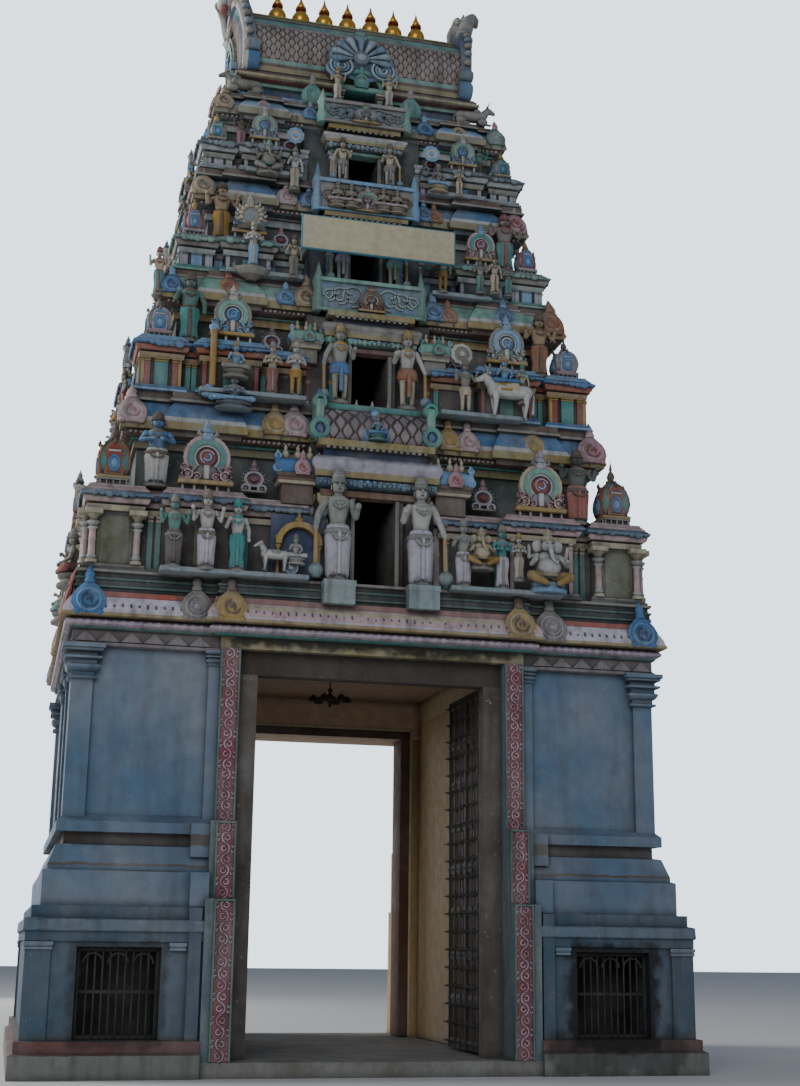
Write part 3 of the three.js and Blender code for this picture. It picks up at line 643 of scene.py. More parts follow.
def turned(part, profile, sides=12, centre=(0, 0, 0), squash=(1, 1), pleat=0.0, axis="Z"):
    """A turned form, spun band by band from its profile of (radius, height, coat) and welded. Pleat
    makes every second edge stand out. Axis Y lays it on an upright face, with its height outwards."""
    spun = new_part()
    for (r0, z0, _), (r1, z1, colour) in zip(profile[:-1], profile[1:]):
        pair = [spun.verts.new((max(r, 0.0005), 0, z)) for r, z in ((r0, z0), (r1, z1))]
        edge = spun.edges.new(pair)
        bmesh.ops.spin(spun, geom=[*pair, edge], cent=(0, 0, 0), axis=(0, 0, 1), angle=tau, steps=sides,
            use_merge=True)
        fresh = [face for face in spun.faces if not face.tag]
        coat(spun, fresh, colour)
        for face in fresh:
            face.tag = True
    bmesh.ops.remove_doubles(spun, verts=spun.verts, dist=0.0002)
    ends = bmesh.ops.holes_fill(spun, edges=[edge for edge in spun.edges if edge.is_boundary])["faces"]
    coat(spun, ends, profile[-1][2])
    for vert in spun.verts if pleat else ():
        if round(atan2(vert.co.y, vert.co.x) / tau * sides) % 2:
            vert.co.xy *= 1 + pleat
    laid = Matrix.Rotation(pi / 2 if axis == "Y" else 0.0, 4, "X")
    put(part, keep(spun), Matrix.Translation(centre) @ laid @ Matrix.Diagonal((*squash, 1, 1)))


def ball(part, centre, size, colour, rings=6, sides=9):
    matrix = Matrix.Translation(centre) @ Matrix.Diagonal((*Vector(size), 1))
    made = bmesh.ops.create_uvsphere(part, u_segments=sides, v_segments=rings, radius=1, matrix=matrix)
    coat_around(part, made["verts"], colour)


def rod(part, start, end, start_radius, end_radius, colour, sides=8):
    start, end = Vector(start), Vector(end)
    along = end - start
    matrix = Matrix.Translation((start + end) / 2) @ along.to_track_quat("Z", "Y").to_matrix().to_4x4()
    made = bmesh.ops.create_cone(
        part, cap_ends=True, segments=sides, radius1=start_radius, radius2=end_radius,
        depth=along.length, matrix=matrix,
    )
    coat_around(part, made["verts"], colour)


LAMP = Vector((-0.03, 0.0, 5.62))
lamp_part = new_part()
rod(lamp_part, LAMP, (*LAMP.xy, HALL_TOP), 0.012, 0.012, IRON)
turned(lamp_part, rows(IRON, (0.0, -0.16), (0.03, -0.15), (0.02, -0.1), (0.07, -0.05), (0.09, 0.0),
    (0.04, 0.04), (0.02, 0.08), (0.05, 0.12), (0.0, 0.16)), 12, LAMP)
for i in range(6):
    out = Vector((cos(i * pi / 3), sin(i * pi / 3), 0))
    elbow = LAMP + out * 0.2 - Vector((0, 0, 0.07))
    rod(lamp_part, LAMP, elbow, 0.012, 0.01, IRON, 6)
    rod(lamp_part, elbow, LAMP + out * 0.28 + Vector((0, 0, 0.03)), 0.01, 0.009, IRON, 6)
    turned(lamp_part, rows(IRON, (0.02, 0.02), (0.05, 0.0), (0.085, -0.07), (0.075, -0.07), (0.02, 0.0)), 8,
        LAMP + out * 0.28)
finish_piece(lamp_part, "hanging_lamp", iron_paint)


# Gate leaves: nine upright boards of old timber on a heavy frame, with iron straps, ribs and rows
# of spikes on the street side. They hang on pivots at the jambs and stand open inwards.
LEAF_Z = (0.235, 5.475)
LEAF_HALF_THICK = 0.035
LEAF_PIVOT = (1.795, -2.63)
BOARDS = 9
RAILS = 9
RAIL = 0.14
STILE = 0.12
LEAF_SPIKE = 0.105
SPIKE_ROWS = 20
SPIKE_COLUMNS = 6


def boards_material():
    material, tree = new_material("old_timber")
    spot = node(tree, "ShaderNodeTexCoord").outputs["Object"]
    grain = noise(tree, spot, 9, 6, (6, 6, 0.35), 0.65)
    pores = noise(tree, spot, 50, 4, (5, 5, 0.5))
    dust = ramp(tree, noise(tree, spot, 2.2, 5), 0.4, 0.7)
    tone = mix(tree, ramp(tree, grain, 0.3, 0.7), (0.03, 0.021, 0.015, 1), (0.085, 0.06, 0.042, 1))
    aged = mix(tree, times(tree, dust, 0.35), tone, (0.13, 0.115, 0.095, 1))
    surface(tree, aged, ramp(tree, grain, 0.2, 0.8, 0.55, 0.85), pores, 0.35, 0.004)
    return material


old_timber = boards_material()
WOOD = (0.06, 0.045, 0.03)
# The spikes are a lighter grey-brown than the rest of the iron, as painted sheen on the knobs.
BOSS = paint("37332f")
spike = new_part()
turned(spike, rows(BOSS, (0.044, -0.02), (0.04, 0.03), (0.02, 0.045), (0.0, LEAF_SPIKE + 0.02)), 6)
spike = keep(spike)
for leaf_name, side_x in [("left", -1), ("right", 1)]:
    low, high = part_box(f"gate_leaf_{leaf_name}")
    wood = new_part()
    iron = new_part()
    inner_x, outer_x = sorted((low.x, high.x), key=abs)
    y0, y1 = low.y + 0.035, high.y
    z0, z1 = LEAF_Z
    middle_x = (inner_x + outer_x) / 2
    board_y = [y0 + i * (y1 - y0) / BOARDS for i in range(BOARDS + 1)]
    rail_z = [z0 + i * (z1 - z0 - RAIL) / (RAILS - 1) for i in range(RAILS)]
    spike_y = [y0 + 0.2 + i * (y1 - y0 - 0.28) / (SPIKE_COLUMNS - 1) for i in range(SPIKE_COLUMNS)]
    spike_z = [z0 + 0.1 + i * (z1 - z0 - 0.2) / (SPIKE_ROWS - 1) for i in range(SPIKE_ROWS)]
    members = [(0.006, y0 + 0.01, y1 - 0.01, z0 + 0.01, z1 - 0.01, 0.0)]
    members += [(0.018, near + 0.004, far - 0.004, z0, z1, 0.004) for near, far in zip(board_y, board_y[1:])]
    stile_y = (y0, (y0 + y1 - STILE) / 2, y1 - STILE)
    members += [(LEAF_HALF_THICK, y, y + STILE, z0, z1, 0.006) for y in stile_y]
    members += [(LEAF_HALF_THICK - 0.002, y0 + 0.002, y1 - 0.002, z, z + RAIL, 0.006) for z in rail_z]
    for half_thick, near, far, bottom, top, bevel in members:
        block(wood, (middle_x - half_thick, near, bottom), (middle_x + half_thick, far, top), WOOD, bevel)
    pivot = (side_x * LEAF_PIVOT[0], LEAF_PIVOT[1])
    rod(wood, (*pivot, 0.172), (*pivot, 5.565), 0.029, 0.029, WOOD, 16)
    for z in rail_z:
        block(iron, (inner_x, y0 + 0.125, z + 0.05), (inner_x - side_x * 0.008, y1 - 0.01, z + 0.09), IRON)
    turn = Matrix.Rotation(-side_x * pi / 2, 4, "Y")
    for y in spike_y:
        block(iron, (inner_x, y - 0.017, z0 + 0.02), (inner_x - side_x * 0.016, y + 0.017, z1 - 0.02),
            paint("3a3530"), 0.006)
        for z in spike_z:
            put(iron, spike, Matrix.Translation((inner_x + side_x * 0.02, y, z)) @ turn)
    finish_piece(wood, f"leaf_timber_{leaf_name}", old_timber, f"leaf_{leaf_name}",
                 [f"gate_leaf_{leaf_name}"])
    finish_piece(iron, f"leaf_iron_{leaf_name}", iron_paint, f"leaf_{leaf_name}")


# Main cornice: a grey-brown frieze with teeth, a petalled roll, a yellow fillet and a sloped,
# lilac-washed eave under an orange-red band, all run in lime plaster on stone slabs. Round
# gable medallions stand on the eave. Pedestals for the first guardians stand on top.
def faced(side):
    return Matrix.Rotation(side * pi / 2, 4, "Z")


def put_twice(target, mesh):
    """Sets a form that is made for the front on the front and on the back."""
    for side in (0, 2):
        put(target, mesh, faced(side))


def spot_on(side, along, distance, z, size=1.0, lean=0.0):
    """A place on one side of the tower, facing out: 0 front, 1 right, 2 back, 3 left."""
    scale = Vector((size, size, size)) if isinstance(size, (int, float)) else Vector(size)
    return (
        faced(side) @ Matrix.Translation((along, -distance, z))
        @ Matrix.Rotation(radians(lean), 4, "X") @ Matrix.Diagonal((*scale, 1))
    )


@form
def medallion(part, rim, ring, field, eye, finial):
    """A flat onion-shaped gable, one metre across and 1.6 high, with a whorl in relief, a notched
    rim, two scrolls at its foot and a bud on top."""
    turned(part, rows(rim, (0.3, -0.06), (0.44, 0.06), (0.5, 0.28), (0.48, 0.5), (0.38, 0.72), (0.24, 0.88),
        (0.13, 1.0)), 20, squash=(1, 0.3), pleat=0.1)
    turned(part, rows(finial, (0.13, 0.96), (0.18, 1.06), (0.12, 1.14), (0.16, 1.26), (0.09, 1.42),
        (0.0, 1.6)), 8, squash=(1, 0.7))
    turned(part, rows(ring, (0.4, 0.0), (0.38, 0.13), (0.34, 0.145), field, (0.32, 0.13), (0.11, 0.14), eye,
        (0.08, 0.16), (0.0, 0.17)), 16, (0, 0, 0.38), axis="Y")
    for dx, radius, start in ((0.02, 0.24, 100), (-0.03, 0.15, -60)):
        arc_ribbon(part, (dx, -0.13, 0.38), radius, start, 250, 0.035, 0.035, eye, 9)
    for side_x in (-1, 1):
        ball(part, (side_x * 0.34, -0.04, 0.0), (0.13, 0.11, 0.1), rim, 5, 8)


@form
def bead(part, colour, kind="ball"):
    if kind == "ball":
        ball(part, (0, 0, 0), (0.5, 0.5, 0.5), colour, 4, 6)
    else:
        block(part, (-0.5, -0.5, -0.5), (0.5, 0.5, 0.5), colour)


@form
def tooth(part, colour):
    """A pointed tooth with four edges, one metre wide and high."""
    bmesh.ops.create_cone(part, cap_ends=True, segments=4, radius1=0.5, radius2=0.0, depth=1.0)
    bmesh.ops.rotate(part, cent=(0, 0, 0), matrix=Matrix.Rotation(pi / 4, 3, "Z"), verts=part.verts)
    coat(part, part.faces, colour)


CORNICE = {"half": 4.29, "depth": 3.07, "bay": 2.3, "bay_out": 0.12}
FRIEZE = paint("82797a")
FRIEZE_HOLLOW = paint("594f4f")
cornice = new_part()
for side_x in (-1, 1):
    xs = sorted((side_x * 2.27, side_x * CORNICE["half"]))
    courses(cornice, oblong(*xs, -CORNICE["depth"], CORNICE["depth"]), rows(FRIEZE, (0.0, 5.685), (0.05, 5.7),
        (0.05, 5.74), FRIEZE_HOLLOW, (0.014, 5.75), (0.014, 5.915), FOREST, (0.05, 5.92), (0.05, 5.94)))


def cornice_plan():
    half, depth, bay, out = (CORNICE[key] for key in ("half", "depth", "bay", "bay_out"))
    front = [(-half, -depth), (-bay, -depth), (-bay, -depth - out), (bay, -depth - out), (bay, -depth),
        (half, -depth)]
    return front + [(-x, -y) for x, y in front]


DEEP_GREEN = paint("26332f")
EAVE_RED = paint("b05a48")
EAVE_TAN = paint("a89468")
SILL_GREEN = paint("3f6158")
EAVE_LILAC = paint("e0d6e4")
ROLL = paint("c2afc2")
courses(cornice, cornice_plan(), rows(TEAL, (0.0, 5.93), (0.06, 5.935), (0.06, 5.955), ROLL, (0.09, 5.962),
    (0.125, 5.985), (0.135, 6.01), (0.125, 6.035), (0.09, 6.058), DEEP_GREEN, (0.06, 6.062), (0.06, 6.08),
    EAVE_TAN, (0.185, 6.09), (0.2, 6.1), (0.2, 6.135), CREAM, (0.185, 6.145), EAVE_LILAC, (0.165, 6.22),
    (0.13, 6.29), (0.085, 6.35), (0.06, 6.385), EAVE_RED, (0.065, 6.39), (0.045, 6.465), DEEP_GREEN,
    (0.0, 6.475), (0.0, 6.52), SILL_GREEN, (0.03, 6.53), (0.03, 6.56), DEEP_GREEN, (0.01, 6.565),
    (0.01, 6.63), SILL_GREEN, (0.03, 6.64), (0.03, 6.67), DEEP_GREEN, (-0.01, 6.68), (-0.01, 6.74), STONE,
    (0.03, 6.75), (0.03, 6.789)))

centre_wash = new_part()
courses(centre_wash, oblong(-2.31, 2.31, -3.2, -3.0), rows(CREAM, (0.166, 6.146), BLUSH, (0.168, 6.22),
    (0.133, 6.29), CREAM, (0.088, 6.35), BLUSH, (0.063, 6.385), EAVE_TAN, (0.068, 6.39), paint("9c6f68"),
    (0.048, 6.468)))
put_twice(cornice, keep(centre_wash))


def along_cornice(side, pitch, bay_out):
    """Even places along one side of the cornice, each with its distance from the middle."""
    half, distance = CORNICE["half"], CORNICE["depth"]
    if side % 2:
        half, distance = distance, half
    count = int(2 * half / pitch)
    for i in range(count):
        along = -half + (i + 0.5) * 2 * half / count
        in_bay = side % 2 == 0 and abs(along) < CORNICE["bay"]
        yield along, distance + (bay_out if in_bay else 0.0)


TOOTH_PITCH = 0.31
PETAL_PITCH = 0.12
TICK_PITCH = 0.115
PORTAL_HALF = 2.36
TICK = paint("4c4560")
nicks = random.Random(3)
for side in range(4):
    for along, distance in along_cornice(side, TOOTH_PITCH, 0.0):
        if side % 2 or abs(along) > PORTAL_HALF:
            put(cornice, tooth(FRIEZE), spot_on(side, along, distance + 0.014, 5.83,
                (TOOTH_PITCH * 1.38, 0.09, 0.15)))
    for along, distance in along_cornice(side, PETAL_PITCH, CORNICE["bay_out"]):
        put(cornice, bead(ROLL), spot_on(side, along, distance + 0.115, 6.01, (0.1, 0.06, 0.085)))
    for along, distance in along_cornice(side, TICK_PITCH, CORNICE["bay_out"] + 0.002):
        z = 6.245 + nicks.uniform(-0.012, 0.012)
        put(cornice, bead(TICK, "block"), spot_on(side, along, distance + 0.155, z,
            (0.022, 0.02, nicks.uniform(0.03, 0.07)), -28))
SEA_WHORL = (BLUE, SKY, BLUE, NAVY, BLUE)
PALE_WHORL = (STONE, LILAC, STONE, LILAC, STONE)
GOLD_WHORL = (OCHRE, GOLD, OCHRE, UMBER, UMBER)
CREAM_WHORL = (OCHRE, CREAM, OCHRE, UMBER, UMBER)
ROSE_WHORL = (BRICK, BLUSH, BRICK, CREAM, BRICK)
GREEN_WHORL = (OCHRE, PINK, TEAL, CREAM, GOLD)
MEDALLIONS = [
    (0, -4.12, 0.46, SEA_WHORL), (0, 4.12, 0.46, SEA_WHORL), (0, -2.62, 0.44, PALE_WHORL),
    (0, 2.66, 0.48, PALE_WHORL), (0, -2.14, 0.44, GOLD_WHORL), (0, 2.14, 0.46, CREAM_WHORL),
    (1, -2.85, 0.46, ROSE_WHORL), (1, 0.0, 0.55, GREEN_WHORL), (1, 2.85, 0.46, SEA_WHORL),
    (3, -2.85, 0.46, SEA_WHORL), (3, 0.0, 0.55, GREEN_WHORL), (3, 2.85, 0.46, ROSE_WHORL),
    (2, -4.12, 0.46, SEA_WHORL), (2, 4.12, 0.46, SEA_WHORL), (2, -2.14, 0.44, GOLD_WHORL),
    (2, 2.14, 0.44, CREAM_WHORL),
]
for side, along, size, colours in MEDALLIONS:
    distance = (CORNICE["half"] if side % 2 else CORNICE["depth"]) + 0.16
    if side % 2 == 0 and abs(along) < CORNICE["bay"]:
        distance += CORNICE["bay_out"]
    put(cornice, medallion(*colours), spot_on(side, along, distance, 6.13, size, -12))
PEDESTAL = paint("8fa3a6")
for side in (0, 2):
    for side_x in (-1, 1):
        near = faced(side) @ Vector((side_x * 0.63 - 0.21, -3.42, 0))
        far = faced(side) @ Vector((side_x * 0.63 + 0.25, -2.95, 0))
        courses(cornice, oblong(near.x, far.x, near.y, far.y), rows(PEDESTAL, (0.0, 6.44), (0.0, 6.7),
            (0.01, 6.71), (0.01, 6.789)))
painted_stucco = weathered("painted_stucco", None, fade=0.42, streaks=0.5, growth=0.75, chips=0.55)
cornice_coat = weathered("cornice_coat", None, fade=0.3, streaks=0.5, growth=0.15, chips=0.5)
finish_piece(cornice, "main_cornice_plaster", cornice_coat, stands_for=["main_cornice"])


# Figures: plaster over brick, modelled in the round and painted in one go. Each stands for a
# common type of temple figure with a calm, general face, and is one metre tall as it is made.
HAIR = paint("2a2320")
LIP = paint("6b3a34")


def limb(part, points, colour, side=1, sides=8):
    """A bent limb through points of (x, y, z, radius), rounded at its joints."""
    points = [(side * x, y, z, radius) for x, y, z, radius in points]
    for first, second in zip(points[:-1], points[1:]):
        rod(part, first[:3], second[:3], first[3], second[3], colour, sides)
    for x, y, z, radius in points:
        ball(part, (x, y, z), (radius, radius, radius), colour, 5, sides)


def head(part, z, size, skin, crown):
    """A head that faces the front, with brow, nose, eyes and ears, under a tiered crown."""
    def lump(x, y, up, reach, colour, rings=4, sides=6):
        ball(part, (x * size, y * size, z + up * size), Vector(reach) * size, colour, rings, sides)

    lump(0, 0, 0, (0.8, 0.86, 1.0), skin, 8, 12)
    lump(0, 0.22, 0.15, (0.88, 0.78, 0.95), HAIR, 6, 10)
    rod(part, (0, -0.84 * size, z + 0.12 * size), (0, -1.0 * size, z - 0.16 * size), 0.06 * size, 0.14 * size,
        skin, 6)
    lump(0, -0.76, -0.45, (0.26, 0.12, 0.08), LIP)
    for side in (-1, 1):
        lump(side * 0.31, -0.74, 0.1, (0.17, 0.11, 0.09), CHALK, 4, 8)
        lump(side * 0.31, -0.83, 0.1, (0.07, 0.05, 0.07), HAIR)
        lump(side * 0.31, -0.78, 0.28, (0.21, 0.08, 0.04), HAIR)
        lump(side * 0.84, 0, -0.15, (0.12, 0.2, 0.36), crown)
    turned(part, [(radius * size, height * size, crown) for radius, height in ((0.86, 0.36), (1.0, 0.5),
        (0.86, 0.66), (0.92, 0.84), (0.78, 1.0), (0.84, 1.2), (0.68, 1.5), (0.74, 1.66), (0.52, 1.95),
        (0.34, 2.15), (0.0, 2.3))], 10, (0, 0, z))


ARMS = {
    "down": [(0.105, 0.0, 0.7, 0.034), (0.155, 0.01, 0.57, 0.027), (0.15, -0.04, 0.43, 0.02)],
    "raised": [(0.105, 0.0, 0.7, 0.034), (0.165, -0.02, 0.6, 0.027), (0.185, -0.09, 0.74, 0.02)],
    "bless": [(0.105, 0.0, 0.7, 0.034), (0.15, -0.02, 0.59, 0.027), (0.115, -0.13, 0.68, 0.02)],
    "hold": [(0.105, 0.0, 0.7, 0.034), (0.15, -0.03, 0.59, 0.027), (0.04, -0.12, 0.6, 0.02)],
    "club": [(0.105, 0.0, 0.7, 0.038), (0.165, 0.0, 0.59, 0.031), (0.2, -0.05, 0.46, 0.025)],
    "palm": [(0.105, 0.0, 0.7, 0.038), (0.155, 0.0, 0.58, 0.031), (0.158, -0.09, 0.66, 0.025)],
    "lap": [(0.105, 0.0, 0.7, 0.034), (0.155, -0.03, 0.58, 0.027), (0.07, -0.16, 0.5, 0.02)],
}


def torso(part, skin, trim, poses, base=0.48):
    """Chest, necklace, sash, arms and head of a figure whose waist is at a height."""
    body = new_part()
    turned(body, rows(skin, (0.08, 0.46), (0.068, 0.53), (0.088, 0.61), (0.106, 0.675), (0.102, 0.715),
        (0.045, 0.742), (0.034, 0.755), (0.034, 0.8)), 12, squash=(1, 0.7))
    turned(body, rows(trim, (0.048, 0.738), (0.086, 0.73), (0.092, 0.7), (0.058, 0.75)), 12, (0, -0.006, 0),
        (1, 0.78))
    turned(body, rows(trim, (0.09, 0.463), (0.098, 0.48), (0.084, 0.5)), 12, squash=(1, 0.78))
    arc_ribbon(body, (0, -0.066, 0.7), 0.062, 200, 140, 0.012, 0.016, trim, 6)
    ball(body, (0, -0.078, 0.64), (0.018, 0.01, 0.022), trim, 4, 6)
    head(body, 0.838, 0.071, skin, trim)
    for side, pose in zip((-1, 1), poses):
        limb(body, ARMS[pose], skin, side)
        x, y, z, _ = ARMS[pose][1]
        ball(body, (side * (x * 0.5 + 0.052), y * 0.5, z * 0.5 + 0.35), (0.036, 0.036, 0.015), trim, 4, 8)
        x, y, z, _ = ARMS[pose][2]
        ball(body, (side * x, y - 0.015, z - 0.01), (0.026, 0.022, 0.032), skin, 5, 8)
    put(part, keep(body), Matrix.Translation((0, 0, base - 0.48)))


@form
def standing(part, skin, cloth, trim, pose="down", dress_kind="skirt", sash=None):
    """A standing figure in a pleated skirt, a long robe or short cloth over bare legs."""
    turned(part, rows(STONE, (0.12, -0.03), (0.13, 0.0), (0.1, 0.03), (0.0, 0.03)), 10)
    if dress_kind == "skirt":
        turned(part, rows(cloth, (0.086, 0.02), (0.094, 0.05), (0.078, 0.22), (0.098, 0.38), (0.088, 0.48)),
            16, squash=(1, 0.76), pleat=0.12)
        block(part, (-0.018, -0.09, 0.05), (0.018, -0.05, 0.44), trim, 0.008)
    elif dress_kind == "robe":
        turned(part, rows(cloth, (0.086, 0.02), (0.102, 0.06), (0.106, 0.22), (0.116, 0.38), (0.094, 0.49)),
            16, squash=(1, 0.76), pleat=0.06)
        block(part, (-0.016, -0.1, 0.05), (0.016, -0.05, 0.42), cloth, 0.008)
        turned(part, rows(trim, (0.105, 0.4), (0.122, 0.42), (0.112, 0.45), (0.095, 0.46)), 14,
            squash=(1, 0.8), pleat=0.05)
        arc_ribbon(part, (0.0, -0.092, 0.42), 0.07, 190, 160, 0.018, 0.016, trim, 6)
    else:
        turned(part, rows(cloth, (0.09, 0.33), (0.102, 0.41), (0.088, 0.48)), 14, squash=(1, 0.76),
            pleat=0.06)
        for side in (-1, 1):
            limb(part, [(0.055, -0.01, 0.04, 0.026), (0.054, -0.02, 0.25, 0.038), (0.044, 0.0, 0.45, 0.054)],
                cloth, side)
    if sash:
        turned(part, rows(sash, (0.108, 0.35), (0.122, 0.38), (0.112, 0.46), (0.092, 0.49)), 14,
            squash=(1, 0.78), pleat=0.05)
        block(part, (-0.022, -0.118, 0.12), (0.022, -0.07, 0.42), sash, 0.01)
    for side in (-1, 1):
        ball(part, (side * 0.048, -0.06, 0.04), (0.026, 0.056, 0.02), skin, 4, 8)
    club = pose in ("club_left", "club_right")
    if club:
        side = 1 if pose == "club_right" else -1
        poses = ("palm", "club") if side > 0 else ("club", "palm")
        rod(part, (side * 0.2, -0.09, 0.04), (side * 0.2, -0.06, 0.44), 0.022, 0.018, OCHRE, 8)
        ball(part, (side * 0.2, -0.09, 0.07), (0.064, 0.06, 0.064), paint("7f9a9c"), 7, 12)
    else:
        poses = (pose, "down" if pose == "bless" else pose)
    torso(part, skin, trim, poses)


@form
def seated(part, skin, cloth, trim, seat, pose="bless"):
    """A figure seated on a lotus seat with folded legs, its crown at one metre."""
    turned(part, rows(seat, (0.27, 0.0), (0.3, 0.03), (0.22, 0.08), (0.2, 0.11), (0.28, 0.17), (0.26, 0.19),
        (0.0, 0.19)), 16, squash=(1, 0.72), pleat=0.08)
    for side in (-1, 1):
        limb(part, [(0.07, 0.0, 0.28, 0.095), (0.27, -0.1, 0.27, 0.075), (-0.02, -0.2, 0.24, 0.042)], cloth,
            side)
    turned(part, rows(cloth, (0.12, 0.2), (0.14, 0.26), (0.115, 0.34)), 12, squash=(1, 0.75))
    body = new_part()
    torso(body, skin, trim, (pose, "lap" if pose == "bless" else pose))
    put(part, keep(body), Matrix.Translation((0, 0, -0.25)) @ Matrix.Scale(1.18, 4))


@form
def elephant_faced(part, skin, cloth, trim, seat):
    """A seated, pot-bellied figure with an elephant's head, its crown at one metre."""
    turned(part, rows(seat, (0.26, 0.0), (0.29, 0.04), (0.24, 0.1), (0.26, 0.14), (0.0, 0.15)), 14,
        squash=(1, 0.75))
    for side in (-1, 1):
        limb(part, [(0.08, 0.0, 0.25, 0.095), (0.29, -0.12, 0.24, 0.078), (0.1, -0.22, 0.12, 0.045)], cloth,
            side)
        limb(part, [(0.17, 0.0, 0.56, 0.045), (0.27, -0.06, 0.42, 0.034), (0.24, -0.19, 0.46, 0.028)], skin,
            side)
        limb(part, [(0.16, 0.03, 0.58, 0.04), (0.28, 0.02, 0.54, 0.03), (0.3, -0.02, 0.7, 0.024)], skin, side)
        ball(part, (side * 0.155, 0.02, 0.72), (0.085, 0.022, 0.1), skin, 6, 10)
        ball(part, (side * 0.045, -0.105, 0.745), (0.014, 0.01, 0.012), HAIR, 4, 6)
        rod(part, (side * 0.045, -0.1, 0.67), (side * 0.06, -0.15, 0.63), 0.014, 0.005, CHALK, 6)
    ball(part, (0, -0.03, 0.38), (0.19, 0.17, 0.17), skin, 8, 12)
    ball(part, (0, 0.0, 0.53), (0.17, 0.11, 0.11), skin, 8, 12)
    turned(part, rows(trim, (0.17, 0.24), (0.195, 0.27), (0.18, 0.29)), 14, (0, -0.01, 0), (1, 0.86))
    ball(part, (0, -0.01, 0.72), (0.1, 0.105, 0.105), skin, 8, 12)
    limb(part, [(0, -0.1, 0.7, 0.042), (0.0, -0.15, 0.62, 0.036), (0.01, -0.17, 0.53, 0.03),
        (0.04, -0.18, 0.46, 0.024), (0.08, -0.18, 0.43, 0.02), (0.1, -0.17, 0.47, 0.016)], skin)
    turned(part, rows(trim, (0.085, 0.79), (0.105, 0.82), (0.085, 0.85), (0.06, 0.88), (0.07, 0.9),
        (0.04, 0.95), (0.0, 1.0)), 10)


@form
def beast(part, coat_colour, trim, kind, facing=1):
    """A bull or a horse in profile, one metre long, with its head towards the facing side."""
    lying = kind == "lying"
    top = 0.3 if lying else 0.56
    rod(part, (-0.34, 0, top), (0.26, 0, top + 0.02), 0.155, 0.165, coat_colour, 12)
    ball(part, (-0.34, 0, top), (0.17, 0.155, 0.16), coat_colour, 8, 12)
    ball(part, (0.26, 0, top + 0.02), (0.18, 0.165, 0.18), coat_colour, 8, 12)
    if kind == "horse":
        limb(part, [(0.3, 0, top + 0.06, 0.12), (0.44, 0, top + 0.38, 0.075), (0.64, 0, top + 0.26, 0.045)],
            coat_colour)
        limb(part, [(0.34, 0, top + 0.3, 0.03), (0.4, 0, top + 0.46, 0.025)], trim)
    else:
        limb(part, [(0.28, 0, top + 0.04, 0.14), (0.47, 0, top + 0.27, 0.095), (0.64, 0, top + 0.2, 0.055)],
            coat_colour)
        ball(part, (0.16, 0, top + 0.18), (0.12, 0.09, 0.1), coat_colour, 6, 10)
    for side in (-1, 1):
        ball(part, (0.42, side * 0.1, top + 0.33), (0.03, 0.045, 0.035), coat_colour, 4, 8)
        if kind != "horse":
            limb(part, [(0.45, side * 0.06, top + 0.33, 0.022), (0.47, side * 0.12, top + 0.42, 0.016),
                        (0.52, side * 0.1, top + 0.5, 0.006)], trim)
        for x in (-0.36, 0.28):
            if lying:
                ball(part, (x, side * 0.13, 0.12), (0.15, 0.07, 0.12), coat_colour, 6, 10)
                limb(part, [(x, side * 0.13, 0.06, 0.045), (x + 0.22, side * 0.13, 0.05, 0.035)], coat_colour)
            else:
                limb(part, [(x + side * 0.04, side * 0.09, 0.03, 0.032), (x, side * 0.09, 0.26, 0.042),
                            (x, side * 0.08, 0.5, 0.085)], coat_colour)
    limb(part, [(-0.48, 0, top + 0.08, 0.022), (-0.54, 0, top - 0.05, 0.02), (-0.52, 0, 0.14, 0.03)],
        coat_colour)
    collar = new_part()
    turned(collar, rows(trim, (0.155, 0.0), (0.178, 0.02), (0.155, 0.05)), 14)
    put(part, keep(collar), Matrix.Translation((0.26, 0, top + 0.04)) @ Matrix.Rotation(radians(60), 4, "Y"))
    if not lying:
        block(part, (-0.2, -0.165, top - 0.02), (0.1, 0.165, top + 0.165), trim, 0.04)
    if facing < 0:
        bmesh.ops.rotate(part, cent=(0, 0, 0), matrix=Matrix.Rotation(pi, 3, "Z"), verts=part.verts)


# Ornaments that every storey shares: pilasters, corner domes, arched gables and the net of
# diamonds on the vaults, all cast or run in lime plaster and painted.
@form
def pilaster(part, shaft, trim, cap):
    """A square pilaster, one metre tall and a fifth wide, with base, banded shaft and capital."""
    courses(part, oblong(-0.07, 0.07, -0.05, 0.05), rows(trim, (0.03, 0.0), (0.03, 0.05), (0.01, 0.07), cap,
        (0.0, 0.1), shaft, (0.0, 0.4), trim, (0.012, 0.41), (0.012, 0.45), (0.0, 0.46), shaft, (0.0, 0.66),
        trim, (0.015, 0.67), (0.015, 0.71), shaft, (-0.01, 0.73), (-0.01, 0.76), cap, (0.03, 0.8),
        (0.035, 0.84), (0.01, 0.88), trim, (0.05, 0.92), (0.06, 0.94), (0.06, 1.0)))


@form
def round_pilaster(part, shaft, trim, cap):
    """A turned column, one metre tall, as at the corners of the lowest storey."""
    turned(part, rows(trim, (0.09, 0.0), (0.09, 0.06), (0.06, 0.08), cap, (0.075, 0.12), (0.055, 0.16), shaft,
        (0.05, 0.42), trim, (0.062, 0.44), shaft, (0.05, 0.47), (0.05, 0.62), cap, (0.08, 0.66), (0.05, 0.69),
        (0.1, 0.76), (0.05, 0.81), trim, (0.06, 0.84), (0.11, 0.9)))
    block(part, (-0.13, -0.13, 0.9), (0.13, 0.13, 1.0), trim, 0.01)


